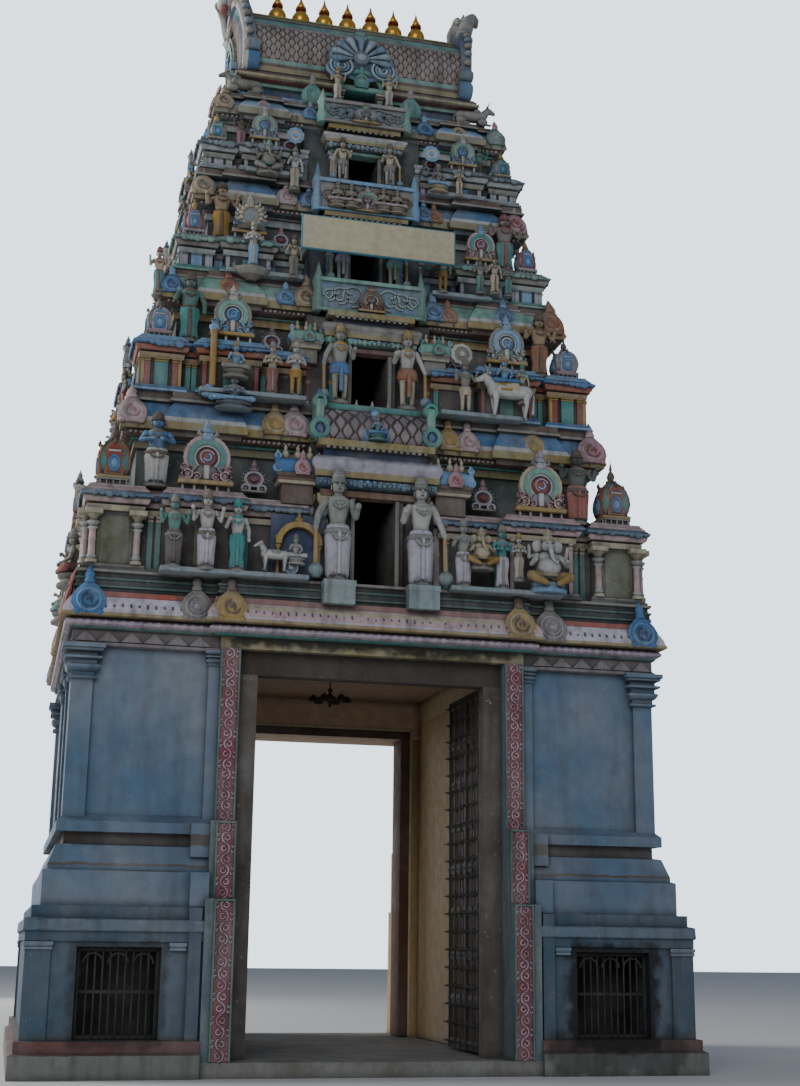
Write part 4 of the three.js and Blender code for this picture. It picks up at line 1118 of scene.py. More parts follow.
@form
def balustrade(part, width, post):
    """A low row of pale posts before a dark gap, under a thin rail, 0.16 high."""
    block(part, (-width / 2, 0.0, 0.0), (width / 2, 0.08, 0.14), SHADOW)
    block(part, (-width / 2 - 0.02, -0.06, 0.13), (width / 2 + 0.02, 0.08, 0.17), STONE, 0.008)
    count = max(2, round(width / 0.2))
    for i in range(count + 1):
        x = -width / 2 + 0.02 + i * (width - 0.04) / count
        block(part, (x - 0.018, -0.04, 0.0), (x + 0.018, 0.02, 0.14), post)


@form
def corner_dome(part, dome, rib, niche, field, finial, square):
    """A corner pavilion roof, one metre wide and 1.55 high: balustrade, frieze, four arched niches
    and a ribbed or a square dome with a bud."""
    block(part, (-0.4, -0.4, 0.0), (0.4, 0.4, 0.16), SHADOW)
    for side in range(4):
        put(part, balustrade(0.84, CHALK), spot_on(side, 0, 0.44, 0.0))
    courses(part, oblong(-0.46, 0.46, -0.46, 0.46), rows(field, (0.0, 0.16), (0.03, 0.18), (0.03, 0.23), rib,
        (-0.04, 0.26), (-0.08, 0.3)))
    curve = [(0.36, 0.28), (0.43, 0.36), (0.47, 0.5), (0.45, 0.64), (0.38, 0.8), (0.26, 0.93), (0.13, 1.02),
        (0.09, 1.06)]
    if square:
        courses(part, oblong(-0.46, 0.46, -0.46, 0.46), [(r - 0.46, z, dome) for r, z in curve])
        for side in range(4):
            corner = spot_on(side, 0, 0, 0) @ Matrix.Rotation(pi / 4, 4, "Z")
            for (r0, z0), (r1, z1) in zip(curve[:-1], curve[1:]):
                rod(part, corner @ Vector((0, -r0 * 1.4, z0)), corner @ Vector((0, -r1 * 1.4, z1)), 0.035,
                    0.035, rib, 6)
    else:
        turned(part, rows(dome, *curve), 24, pleat=0.07)
    turned(part, rows(finial, (0.14, 1.03), (0.18, 1.07), (0.1, 1.11), (0.14, 1.17), (0.11, 1.25),
        (0.04, 1.31), (0.055, 1.35), (0.0, 1.55)), 10)
    plaque = new_part()
    block(plaque, (-0.3, -0.06, 0.24), (0.3, 0.1, 0.72), rib, 0.02)
    block(plaque, (-0.23, -0.085, 0.29), (0.23, 0.0, 0.78), niche, 0.02)
    turned(plaque, rows(rib, (0.33, -0.1), (0.33, -0.02), (0.29, 0.0), niche, (0.26, 0.0)), 16,
        (0, -0.04, 0.66), (0.9, 0.85), axis="Y")
    turned(plaque, rows(BLUE, (0.19, 0.0), SKY, (0.18, 0.05), BLUE, (0.13, 0.06), (0.11, 0.03), SKY,
        (0.05, 0.06), (0.0, 0.07)), 14, (0, -0.08, 0.48), axis="Y")
    block(plaque, (-0.19, -0.1, 0.72), (0.19, 0.0, 0.76), CHALK, 0.01)
    limb(plaque, [(0, -0.05, 0.94, 0.06), (0, -0.03, 1.02, 0.012)], finial)
    plaque = keep(plaque)
    for side in range(4):
        put(part, plaque, spot_on(side, 0, 0.4, 0))


def flames(part, radius, height, size, colours, count, sweep=250):
    """Leaves of flame that stand round an arch and lean towards its top."""
    for i in range(count):
        turn = -sweep / 2 + i * sweep / (count - 1)
        angle = radians(90 - turn)
        out = Vector((cos(angle), 0, sin(angle)))
        lean = Vector((-copysign(0.5, turn) if abs(turn) > 1 else 0, 0, 0.6))
        root = Vector((0, -0.02, height)) + out * radius
        tip = root + (out + lean).normalized() * size * 1.5
        rod(part, root, tip, size * 0.62, size * 0.12, colours[i % len(colours)], 6)


@form
def big_arch(part, rim, leaf, ring, field, heart, crest):
    """A horseshoe gable, one metre across and 1.25 high: flames round a rim and a ring, a whorl in
    the middle, clustered scrolls at the foot and a horned crest on top."""
    turned(part, rows(rim, (0.43, -0.12), (0.45, 0.0), (0.43, 0.03), field, (0.38, 0.03), (0.0, 0.03)), 20,
        (0, 0, 0.5), (0.98, 1.0), axis="Y")
    for radius, width, thick, colour in ((0.405, 0.075, 0.05, rim), (0.31, 0.11, 0.07, ring),
            (0.23, 0.04, 0.05, CHALK)):
        arc_ribbon(part, (0, -0.02, 0.5), radius, -48, 276, width, thick, colour, 18)
    flames(part, 0.42, 0.5, 0.036, (rim, CHALK), 21, 236)
    ball(part, (0, -0.03, 0.5), (0.2, 0.07, 0.19), heart, 6, 12)
    for start, radius, colour in ((20, 0.13, leaf), (200, 0.07, SKY)):
        arc_ribbon(part, (0, -0.07, 0.5), radius, start, 230, 0.035, 0.04, colour, 8)
    block(part, (-0.06, -0.09, 0.06), (0.06, 0.0, 0.36), CHALK, 0.03)
    for side in (-1, 1):
        for x, z, size in ((0.35, 0.15, 0.12), (0.18, 0.12, 0.09), (0.42, 0.29, 0.07), (0.27, 0.27, 0.07),
                (0.45, 0.1, 0.06)):
            ball(part, (side * x, 0.0, z), (size * 1.05, 0.09, size * 1.05), leaf, 5, 8)
            arc_ribbon(part, (side * x, -0.05, z), size * 0.75, 90 - side * 120,
                       side * 420, size * 0.3, 0.05, rim if size > 0.1 else leaf, 9)
        limb(part, [(side * 0.07, -0.05, 0.9, 0.05), (side * 0.17, -0.05, 0.97, 0.042),
            (side * 0.14, -0.05, 1.06, 0.02)], STONE, 1, 6)
        ball(part, (side * 0.06, -0.12, 0.94), (0.03, 0.025, 0.03), CHALK, 5, 8)
    block(part, (-0.52, -0.12, -0.04), (0.52, 0.12, 0.05), OCHRE, 0.015)
    ball(part, (0, -0.04, 0.91), (0.13, 0.1, 0.1), crest, 7, 10)
    turned(part, rows(crest, (0.1, 0.95), (0.14, 1.0), (0.11, 1.06), (0.06, 1.11), (0.08, 1.15), (0.04, 1.2),
        (0.0, 1.28)), 10, squash=(1, 0.7), pleat=0.08)


@form
def small_arch(part, rim, leaf, heart, finial):
    """A little gable on a foot, half as wide as it is high: a flamed ring over two scrolls."""
    turned(part, rows(rim, (0.3, -0.1), (0.34, 0.0), (0.3, 0.05), leaf, (0.22, 0.05), (0.2, 0.0), heart,
        (0.12, 0.0), (0.1, 0.05), (0.0, 0.06)), 14, (0, 0, 0.48), axis="Y")
    flames(part, 0.33, 0.48, 0.055, (leaf, rim), 11, 220)
    for side in (-1, 1):
        arc_ribbon(part, (side * 0.24, -0.02, 0.13), 0.12, 90 - side * 120, side * 300,
                   0.07, 0.06, leaf, 8)
        ball(part, (side * 0.24, 0.0, 0.13), (0.1, 0.06, 0.1), rim, 5, 8)
    block(part, (-0.38, -0.1, -0.03), (0.38, 0.08, 0.05), rim, 0.015)
    turned(part, rows(finial, (0.1, 0.78), (0.13, 0.86), (0.07, 0.94), (0.1, 1.0), (0.0, 1.22)), 8,
        squash=(1, 0.7))


def diamond_net(columns, tiers, skin, line, place):
    """A net of raised diamonds made from a grid. Place gives the spot of (across, up, lift)."""
    part = new_part()
    bmesh.ops.create_grid(part, x_segments=columns, y_segments=tiers, size=0.5)
    lines = [edge for edge in part.edges if not edge.is_boundary]
    bmesh.ops.poke(part, faces=part.faces[:])
    bmesh.ops.dissolve_edges(part, edges=lines, use_verts=False)
    coat(part, part.faces, line)
    rims = set(bmesh.ops.inset_individual(part, faces=part.faces[:], thickness=0.19 / columns,
        depth=0.0)["faces"])
    cells = [face for face in part.faces if face not in rims]
    coat(part, cells, skin)
    raised = {vert for face in cells for vert in face.verts}
    for vert in part.verts:
        vert.co = place(vert.co.x, vert.co.y + 0.5, 1.0 if vert in raised else 0.0)
    bmesh.ops.solidify(part, geom=part.faces[:], thickness=-0.03)
    return keep(part)


@form
def scroll_end(part, colour, knob, trim):
    """The end of a vault: a tall scrolled bracket, one metre high, with a curl and a knob."""
    block(part, (-0.1, -0.16, 0.0), (0.1, 0.16, 0.86), colour, 0.04)
    for size, y, z in ((0.24, -0.1, 0.24), (0.17, -0.05, 0.8)):
        turned(part, rows(colour, (size * 0.85, -0.1), (size, 0.0), (size * 0.9, 0.1), trim,
            (size * 0.5, 0.11), (size * 0.45, 0.07), knob, (size * 0.3, 0.08), (0.0, 0.12)), 12, (0, y, z),
            axis="Y")
    turned(part, rows(knob, (0.06, 0.9), (0.09, 0.96), (0.05, 1.02), (0.0, 1.12)), 8)


# Storeys: each has a sill, a band of corner pavilions, bays and recesses, a small eave, a set-back
# wall under corner domes and arched gables, and a curved main eave with a short vault over the
# doorway. All of it is brick with lime plaster, and every member has its own coat. The near-black
# colour of the band walls, door reveals and the space behind each porch is painted shade.
OLD_YELLOW = paint("9a8a52")
EAVE_BLUE = paint("4f7fae")
EAVE_GREY = paint("607f97")
SLATE_GREY = paint("7d8c96")
MIST = paint("a9b2b4")
EAVE_RUST = paint("a8664a")
TAN = paint("a8906a")
CREAM_ARCH = (CREAM, PINK, MINT, LILAC, BRICK, LILAC)
GREEN_ARCH = (BLUSH, PINK, TEAL, STONE, CRIMSON, SKY)
BLUE_ARCH = (STONE, CHALK, SKY, MINT, BLUE, SKY)
STONE_ARCH = (STONE, SKY, MINT, STONE, BLUE, CHALK)
PINK_KUDU = (PINK, BLUSH, PINK, BRICK, BLUSH)
YELLOW_KUDU = (OCHRE, CREAM, OCHRE, GOLD, OCHRE)
GREEN_KUDU = (TEAL, PINK, MINT, BLUSH, PINK)
BLUE_KUDU = (BLUE, SKY, BLUE, NAVY, SKY)
ORANGE_KUDU = (ORANGE, OCHRE, ORANGE, BRICK, ORANGE)
TAN_KUDU = (TAN, CREAM, TAN, UMBER, TAN)
PALE_KUDU = (BLUSH, CHALK, BLUSH, PINK, BLUSH)
STOREY_TABLE = {
    "name": ("tier1", "tier2", "tier3", "tier4"),
    "less": (1.18, 1.08, 1.03, 0.98),
    "half": (4.23, 3.59, 3.04, 2.7),
    "recess": (3.56, 3.03, 2.57, 2.3),
    "eave": (3.8, 3.31, 2.83, 2.53),
    "floor": (6.79, 9.72, 11.95, 13.9),
    "wall": (7.85, 10.43, 12.44, 14.3),
    "ledge": (8.06, 10.62, 12.59, 14.44),
    "neck": (9.0, 11.3, 13.24, 14.99),
    "lip": (9.2, 11.49, 13.43, 15.17),
    "top": (9.72, 11.95, 13.9, 15.5),
    "room": (2.9, 2.45, 2.06, 1.86),
    "door": (0.31, 0.29, 0.24, 0.25),
    "door_top": (8.16, 10.68, 12.76, 14.52),
    "dome_x": (3.87, 3.29, 2.79, 2.46),
    "dome": (0.47, 0.39, 0.34, 0.31),
    "bay_x": (2.56, 2.2, 1.93, 1.7),
    "bay": (0.52, 0.44, 0.36, 0.32),
    "guard": (1.72, 1.33, 1.0, 0.82),
    "pavilion": (0.74, 0.6, 0.5, 0.44),
    "sill": ((DEEP_GREEN, STONE), (SKY, BLUE), (MINT, TEAL), (SLATE_GREY, MIST)),
    "panel": (OLIVE, TEAL, TEAL, BLUE),
    # Recess shade: near-black colours that paint the shade of the band wall behind the figures, of the door
    # reveals and of the space behind each porch.
    "hollow": (paint("3a2f28"), paint("352722"), paint("2c3a44"), paint("2a3631")),
    "shaft": (BLUSH, BRICK, LILAC, MIST),
    "side_shaft": (TEAL, TEAL, SKY, LILAC),
    "cap": (CREAM, OCHRE, MIST, MIST),
    "frieze": ((CREAM, BLUSH, EAVE_GREY, BLUSH), (TAN, EAVE_RUST, EAVE_BLUE, SKY),
        (MIST, STONE, MINT, SLATE_GREY), (STONE, MIST, SLATE_GREY, paint("5f6a72"))),
    "back_wall": (paint("263a35"), paint("33322f"), paint("3a3a3c"), paint("35383a")),
    "domes": ((TEAL, ORANGE, BRICK, OCHRE, UMBER, True), (STONE, LILAC, BLUE, PINK, UMBER, True),
        (PINK, BRICK, BLUE, LILAC, OCHRE, False), (LILAC, STONE, TEAL, CREAM, OCHRE, False)),
    "eave_coat": ((OLD_YELLOW, CHALK, BLUE), (OLD_YELLOW, CHALK, MINT),
        (paint("8f8a6c"), CHALK, paint("4a79a4")), (paint("8c8870"), CHALK, SKY)),
    "under": ((TEAL, paint("77704c")), (MINT, OCHRE), (STONE, MIST), (MINT, CHALK)),
    "porch": ((STONE, paint("8a6a50"), EAVE_GREY, LILAC), (STONE, paint("845049"), MINT, STONE),
        (STONE, UMBER, SKY, MIST), (STONE, MINT, SLATE_GREY, CHALK)),
    "hood": (0.8, 0.6, 0.6, 0.52),
    "small": (1.79, 1.52, 1.36, 1.22),
    "vault": ((paint("a08f90"), paint("3a2c2b"), TEAL, MINT), (paint("6d8ba0"), paint("93a5a0"), MINT, MINT),
        (STONE, UMBER, SKY, SKY), (SLATE_GREY, paint("5f6a6e"), STONE, MINT)),
    "round": (True, False, False, False),
    "arch": ((GREEN_ARCH, CREAM_ARCH), (STONE_ARCH, BLUE_ARCH), (STONE_ARCH, GREEN_ARCH),
        (STONE_ARCH, STONE_ARCH)),
    "kudus": (
        ((-3.64, PALE_KUDU, 0.42), (-1.49, YELLOW_KUDU, 0.4), (-1.19, PALE_KUDU, 0.44),
            (1.24, YELLOW_KUDU, 0.38), (1.55, PALE_KUDU, 0.36), (2.63, YELLOW_KUDU, 0.42),
            (3.6, PINK_KUDU, 0.46)),
        ((-3.12, BLUE_KUDU, 0.34), (-2.23, ORANGE_KUDU, 0.4), (-1.33, BLUE_KUDU, 0.3),
            (-1.0, TAN_KUDU, 0.42), (1.08, BLUE_KUDU, 0.38), (1.33, ORANGE_KUDU, 0.3),
            (2.28, BLUE_KUDU, 0.42), (3.08, ORANGE_KUDU, 0.44)),
        ((-2.66, TAN_KUDU, 0.42), (-1.3, PALE_KUDU, 0.36), (-0.92, BLUE_KUDU, 0.34),
            (1.02, BLUE_KUDU, 0.34), (1.2, ORANGE_KUDU, 0.3), (2.62, PINK_KUDU, 0.42)),
        ((-2.36, TAN_KUDU, 0.36), (-1.7, PALE_KUDU, 0.3), (-0.9, BLUE_KUDU, 0.3),
            (1.09, BLUE_KUDU, 0.32), (1.7, TAN_KUDU, 0.32), (2.36, GREEN_KUDU, 0.38)),
    ),
    "soffit": (UMBER, UMBER, paint("5c6a72"), paint("7d878b")),
    "middle": (BLUE_KUDU, (UMBER, ORANGE, UMBER, BRICK, UMBER, ORANGE), CREAM_ARCH,
        (SLATE_GREY, STONE, STONE, CREAM, STONE, MINT)),
    "parapet": (None, 0.8, 0.78, 0.68),
    "relief": ((), (), (-0.5, -0.27, 0.27, 0.5), ()),
}
STOREYS = [SimpleNamespace(**dict(zip(STOREY_TABLE, values))) for values in zip(*STOREY_TABLE.values())]
PORCH_HALF = 1.0
PORCH_IN = 0.12


def storey_plan(t, half, recess, bay_out):
    """The right half of a storey, round its room: pavilions at the corners, bays in the middle of
    each side, and recesses between them. It is the same front and back."""
    depth = half - t.less
    pavilion, bay_x, bay = t.pavilion, t.bay_x, t.bay
    room, room_depth = t.room, t.room - t.less
    front = [
        (PORCH_HALF, -(depth - recess)), (bay_x - bay, -(depth - recess)), (bay_x - bay, -(depth + bay_out)),
        (bay_x + bay, -(depth + bay_out)), (bay_x + bay, -(depth - recess)),
        (half - pavilion, -(depth - recess)), (half - pavilion, -depth), (half, -depth),
    ]
    side = [(half, -(depth - pavilion)), (half - recess, -(depth - pavilion)), (half - recess, -bay),
        (half + bay_out, -bay), (half + bay_out, bay), (half - recess, bay),
        (half - recess, depth - pavilion), (half, depth - pavilion)]
    back = [(x, -y) for x, y in reversed(front)]
    back[-1] = (*back[-1], 0)
    inner = [(PORCH_HALF, room_depth, 0), (room, room_depth, 0), (room, -room_depth, 0),
        (PORCH_HALF, -room_depth, 0)]
    return front + side + back + inner


def plain_half_plan(t, half):
    depth = half - t.less
    room, room_depth = t.room, t.room - t.less
    return [(PORCH_HALF, -depth), (half, -depth), (half, depth), (PORCH_HALF, depth, 0),
        (PORCH_HALF, room_depth, 0), (room, room_depth, 0), (room, -room_depth, 0),
        (PORCH_HALF, -room_depth, 0)]


def mirror_halves(piece, half_mesh):
    """Sets a right half and its mirror image into a piece."""
    put(piece, half_mesh)
    flipped = bmesh.new()
    flipped.from_mesh(half_mesh)
    bmesh.ops.scale(flipped, vec=(-1, 1, 1), verts=flipped.verts)
    bmesh.ops.reverse_faces(flipped, faces=flipped.faces)
    mesh = bpy.data.meshes.new("mirrored_half")
    flipped.to_mesh(mesh)
    flipped.free()
    put(piece, mesh)


def side_distance(t, side, half):
    return half if side % 2 else half - t.less


wobble = random.Random(7)


def bead_row(piece, side, along_from, along_to, distance, z, pitch, size, mesh, uneven=0.0):
    """A row of small like ornaments along one side, of even or uneven size."""
    count = max(2, int((along_to - along_from) / pitch))
    for i in range(count):
        along = along_from + (i + 0.5) * (along_to - along_from) / count
        share = 1 + uneven * wobble.uniform(-1, 1)
        put(piece, mesh, spot_on(side, along, distance, z, (size[0] * share, size[1], size[2] * share)))


@form
def flat_pilaster(part, colour, cap):
    """A flat pilaster, one metre wide and high, with a foot and a stepped cap."""
    courses(part, oblong(-0.5, 0.5, -0.03, 0.03), rows(cap, (0.0, 0.0), colour, (0.0, 0.88), cap,
        (0.015, 0.89), (0.015, 0.93), (0.0, 0.94), (0.03, 0.97), (0.03, 1.0)))


PLINTH_IN = 0.05
WALL_IN = 0.03
EAVE_IN = 0.12
EAVE_BAY = 0.08


def build_storey(t, above_half):
    piece = new_part()
    half, less, floor_z, wall_z = t.half, t.less, t.floor, t.wall
    ledge, neck, lip, top = t.ledge, t.neck, t.lip, t.top
    recess = 0.04 * half
    bay_out = 0.07
    rise = wall_z - floor_z
    fillet, blush, scallops, ledge_coat = t.frieze

    def over_wall(share):
        return wall_z + share * (ledge - wall_z)

    # Band wall with its sill and its small eave
    # The band wall's face between sill and frieze takes the recess shade colour, as painted shade.
    band = new_part()
    courses(band, storey_plan(t, half - PLINTH_IN, recess, bay_out), rows(t.sill[0], (0.09, floor_z),
        (0.09, floor_z + 0.035), t.sill[1], (0.06, floor_z + 0.045), (0.07, floor_z + 0.085), t.hollow,
        (0.0, floor_z + 0.095), (0.0, wall_z - 0.185), fillet, (0.03, wall_z - 0.18), (0.045, wall_z - 0.1),
        SHADOW, (0.015, wall_z - 0.095), (0.015, wall_z - 0.075), blush, (0.07, wall_z - 0.07),
        (0.1, wall_z - 0.03), (0.1, wall_z + 0.005), scallops, (0.09, wall_z + 0.01), (0.145, wall_z + 0.025),
        (0.15, over_wall(0.25)), (0.1, over_wall(0.5)), ledge_coat, (0.085, over_wall(0.52)),
        (0.085, over_wall(0.66)), (0.055, over_wall(0.68)), (0.055, over_wall(0.82)), (0.03, over_wall(0.84)),
        (0.03, ledge)))
    mirror_halves(piece, keep(band))

    # Set-back wall behind the domes
    upper = new_part()
    courses(upper, plain_half_plan(t, t.recess - WALL_IN), rows(UMBER, (0.05, ledge - 0.05),
        (0.05, ledge + 0.05), t.back_wall, (0.0, ledge + 0.06), (0.0, neck - 0.17), t.under[1],
        (0.05, neck - 0.165), (0.05, neck - 0.05), t.under[0], (0.09, neck - 0.045), (0.1, neck + 0.005)))
    mirror_halves(piece, keep(upper))

    # Pilasters, stripes and coloured panels along the band
    tall = rise - 0.275
    foot = floor_z + 0.09
    pavilion, bay_x, bay = t.pavilion, t.bay_x, t.bay
    main, second, cap = (flat_pilaster(getattr(t, key), t.cap) for key in ("shaft", "side_shaft", "cap"))
    for side in range(4):
        run = side_distance(t, side + 1, half - PLINTH_IN)
        face = side_distance(t, side, half - PLINTH_IN)
        for hand in (-1, 1):
            corner = hand * (run - pavilion / 2)
            if t.round:
                for size, depth in ((0.34, 0.012), (0.27, 0.022)):
                    put(piece, bead(t.panel, "block"), spot_on(side, corner, face, foot + tall * 0.45,
                        (2 * size * pavilion, 2 * depth, tall * (0.6 + size))))
                for step in (-0.42, 0.42):
                    put(piece, round_pilaster(t.shaft, t.cap, CHALK), spot_on(
                        side, corner + step * pavilion, face + 0.03, foot, (tall * 1.25, tall * 1.25, tall)))
            else:
                for step, width, strip in ((0.46, 0.09, cap), (0.35, 0.15, main), (0.0, 0.34, second)):
                    for sign in (-1, 1) if step else (1,):
                        put(piece, strip, spot_on(side, corner + sign * step * pavilion, face, foot,
                            (width * pavilion, 1, tall)))
            middle = 0.0 if side % 2 else hand * bay_x
            if side % 2 == 0 or hand > 0:
                for step in (-0.9, 0.9):
                    put(piece, main, spot_on(side, middle + step * bay, face + bay_out, foot,
                        (0.06, 1, tall)))
                put(piece, bead(t.panel, "block"), spot_on(
                    side, middle, face + bay_out, foot + tall * 0.45, (bay * 0.5, 0.02, tall * 0.75)))
            gap_from = abs(middle) + bay if side % 2 == 0 else bay
            gap_to = run - pavilion
            spots = [hand * (gap_from + share * (gap_to - gap_from)) for share in (0.3, 0.62)]
            if side % 2 == 0:
                spots += [hand * (PORCH_HALF + share * (bay_x - bay - PORCH_HALF)) for share in (0.12, 0.88)]
            for along in spots:
                put(piece, second, spot_on(side, along, face - recess, foot, (0.075, 1, tall)))
        upper_face = side_distance(t, side, t.recess - WALL_IN)

        # Scalloped fringe of the small eave
        spans = [(run - pavilion, run, 0.0), (gap_from, gap_to, -recess)]
        spans.append((-bay, bay, bay_out) if side % 2 else (bay_x - bay, bay_x + bay, bay_out))
        if side % 2 == 0:
            spans.append((PORCH_HALF, bay_x - bay, -recess))
        for start, end, out in spans:
            for hand in (-1, 1):
                if start < 0 and hand < 0:
                    continue
                low, high = sorted((hand * start, hand * end))
                bead_row(piece, side, low, high, face + out + 0.14, wall_z + 0.03, 0.1, (0.12, 0.05, 0.085),
                         bead(scallops), 0.5)

        # Corner domes and arched gables
        dome_height = (neck - ledge) * 1.16
        if side % 2:
            gables = [(0, t.arch[side // 2])]
            small_along = (bay + t.dome_x - less) / 2 * 0.78
        else:
            gables = [(-bay_x, t.arch[0]), (bay_x, t.arch[1])]
            small_along = t.small
            for hand in (-1, 1):
                put(piece, corner_dome(*t.domes), spot_on(
                    side, hand * t.dome_x, t.dome_x - less, ledge, (t.dome, t.dome, dome_height / 1.5)))
        outer = side_distance(t, side, half)
        for along, coats in gables:
            put(piece, big_arch(*coats), spot_on(side, along, outer + 0.02, ledge + 0.1, 2 * bay * 0.74))
            put(piece, balustrade(2 * bay * 0.72, CHALK), spot_on(
                side, along, outer + 0.01, ledge - 0.02, 0.94))
        for hand in (-1, 1):
            put(piece, small_arch(STONE, LILAC, CRIMSON, PINK), spot_on(side, hand * small_along,
                upper_face + 0.24 * half / 4.2, ledge + (0.17 if t.round else 0.04),
                Vector((0.5, 0.6, 0.42)) * (half / STOREYS[0].half) ** 0.6))

    # Main eave: blocks below, a notched yellow lip, a white band and a painted curve
    eave_half, eave_depth = t.eave - EAVE_IN, t.eave - less - EAVE_IN
    lip_coat, band_coat, curve = t.eave_coat
    above_out = above_half - t.eave + EAVE_IN
    eave_plan = [(-eave_half, -eave_depth)]
    for middle in (-bay_x, bay_x):
        eave_plan += [(middle - bay, -eave_depth), (middle - bay, -eave_depth - EAVE_BAY),
            (middle + bay, -eave_depth - EAVE_BAY), (middle + bay, -eave_depth)]
    eave_plan += [(eave_half, -eave_depth), (eave_half, -bay), (eave_half + EAVE_BAY, -bay),
        (eave_half + EAVE_BAY, bay), (eave_half, bay)]
    eave_plan += [(-x, -y) for x, y in eave_plan]

    def over_lip(share):
        return lip + share * (top - lip)

    courses(piece, eave_plan, rows(t.under[1], (-0.1, neck - 0.02), t.soffit, (0.03, neck),
        (0.04, neck + 0.02), (0.05, lip - 0.125), lip_coat, (0.12, lip - 0.12), (0.13, lip - 0.05),
        (0.12, lip), band_coat, (0.1, lip + 0.005), (0.08, over_lip(0.16)), curve, (0.04, over_lip(0.34)),
        (-0.01, over_lip(0.52)), (min(-0.05, above_out + 0.1), over_lip(0.66)), DEEP_GREEN,
        (above_out + 0.09, over_lip(0.7)), STONE, (above_out + 0.09, over_lip(0.78)), UMBER,
        (above_out + 0.06, over_lip(0.8)), (above_out + 0.06, top - 0.001)))
    for side in range(4):
        run = side_distance(t, side + 1, eave_half)
        face = side_distance(t, side, eave_half)
        for low, high in ((-run, -PORCH_HALF), (PORCH_HALF, run)) if side % 2 == 0 else ((-run, run),):
            bead_row(piece, side, low, high, face + 0.06, neck + 0.035, 0.075, (0.065, 0.07, 0.055),
                bead(BLUSH), 0.15)
            bead_row(piece, side, low, high, face + 0.135, lip - 0.055, 0.26, (0.014, 0.03, 0.11),
                bead(UMBER, "block"))
        if side % 2 == 0:
            kudus = t.kudus
        else:
            kudus = [(-run + 0.12, PINK_KUDU, 0.42), (run - 0.12, PINK_KUDU, 0.42), (-bay, YELLOW_KUDU, 0.36),
                     (bay, BLUE_KUDU, 0.36), (0.0, GREEN_KUDU, 0.4)]
        for along, coats, size in kudus:
            put(piece, medallion(*coats), spot_on(
                side, along, face + 0.13, lip - 0.03, size * (half / STOREYS[0].half) ** 0.3, -14))
    build_porch(piece, t)
    return piece


def build_vault(porch, t, low, high, back):
    """A short barrel vault over the middle bay, with its net of diamonds and a crowned figure."""
    skin, line, cap, end = t.vault
    width, depth = 1.78, 0.36
    foot = sin(radians(-20))
    section = [(0.3, 0.0)]
    for i in range(8):
        angle = radians(-20 + i * 16)
        section.append((-depth * cos(angle), (sin(angle) - foot) / (1 - foot) * (high - low)))
    section.append((0.3, high - low))
    hull = new_part()
    stack(hull, [[(x, y, z) for y, z in section] for x in (-width / 2, width / 2)], [line, line])
    put(porch, keep(hull), Matrix.Translation((0, -back, low)))

    def on_curve(across, up, lift):
        angle = radians(-20 + up * 112)
        reach = depth + 0.02 * lift
        return Vector((across * width, -back - 0.01 - reach * cos(angle), low + (
            sin(angle) - foot) / (1 - foot) * (high - low)))

    put(porch, diamond_net(8, 3, skin, line, on_curve))
    block(porch, (-0.9, -back - 0.16, high - 0.01), (0.9, -back + 0.3, high + 0.095), cap, 0.01)
    for hand in (-1, 1):
        put(porch, scroll_end(end, BLUE, cap), Matrix.Translation((hand * 0.87, -back - 0.2, low - 0.02))
            @ Matrix.Diagonal((0.7, 1, (high + 0.22 - low), 1)))
    put(porch, medallion(*t.middle), spot_on(
        0, 0.0, back + depth - 0.02, low - 0.01, (0.52, 0.6, (high - low) * 0.72), -10))
    put(porch, seated(SKY, BLUE, GOLD, TEAL), spot_on(0, 0.0, back + depth + 0.1, low + 0.02, 0.46))
    for i in range(5):
        turned(porch, rows(CHALK, (0.03, 0.0), (0.04, 0.03), (0.02, 0.06), (0.0, 0.13)), 6,
            (-0.5 + i * 0.25, -back - 0.05, high + 0.095))


RELIEF_COATS = [(BLUSH, PINK, STONE, BLUSH), (MINT, CHALK, STONE, MINT), (CREAM, BLUSH, STONE, CREAM)]


def build_parapet(porch, t, low, back):
    """An upright parapet over the middle bay, with scrollwork, an arched plaque and horned ends."""
    field, scroll, cap, end = t.vault
    high = t.top - 0.03
    width, face = t.parapet, -back - 0.22
    rise = high - low
    block(porch, (-width, face, low), (width, -back + 0.3, high - 0.05), field, 0.01)
    plan = oblong(-width, width, face, -back + 0.3)
    courses(porch, plan, rows(cap, (0.0, low), (0.03, low + 0.01), (0.03, low + 0.05), (0.0, low + 0.06)))
    courses(porch, plan, rows(cap, (0.0, high - 0.08), (0.035, high - 0.07), (0.035, high - 0.01),
        (0.02, high)))
    for hand in (-1, 1):
        for step, size in ((0.36, 0.3), (0.62, 0.24), (0.84, 0.17)):
            centre = (hand * width * step, face, low + rise * 0.48)
            arc_ribbon(porch, centre, size * rise, 90 - hand * 100, hand * 290,
                       0.03, 0.02, scroll, 9)
            arc_ribbon(porch, (centre[0] + hand * 0.02, face, centre[2] - 0.02), size * rise * 0.45,
                       90, -hand * 270, 0.03, 0.02, scroll, 7)
        turned(porch, rows(end, (0.11, 0.0), (0.13, 0.3 * rise), (0.09, 0.62 * rise), (0.12, 0.9 * rise),
            (0.07, 1.12 * rise), (0.02, 1.42 * rise), (0.0, 1.5 * rise)), 8,
            (hand * (width + 0.04), face + 0.08, low), (0.8, 1))
    put(porch, big_arch(*t.middle), spot_on(0, 0.0, -face + 0.01, low + 0.05, (0.42, 0.6, rise * 0.66)))
    for along in t.relief:
        put(porch, seated(*RELIEF_COATS[int(abs(along) * 10) % 3], "hold"), spot_on(
            0, along, -face + 0.04, low + 0.06, rise * 0.85))


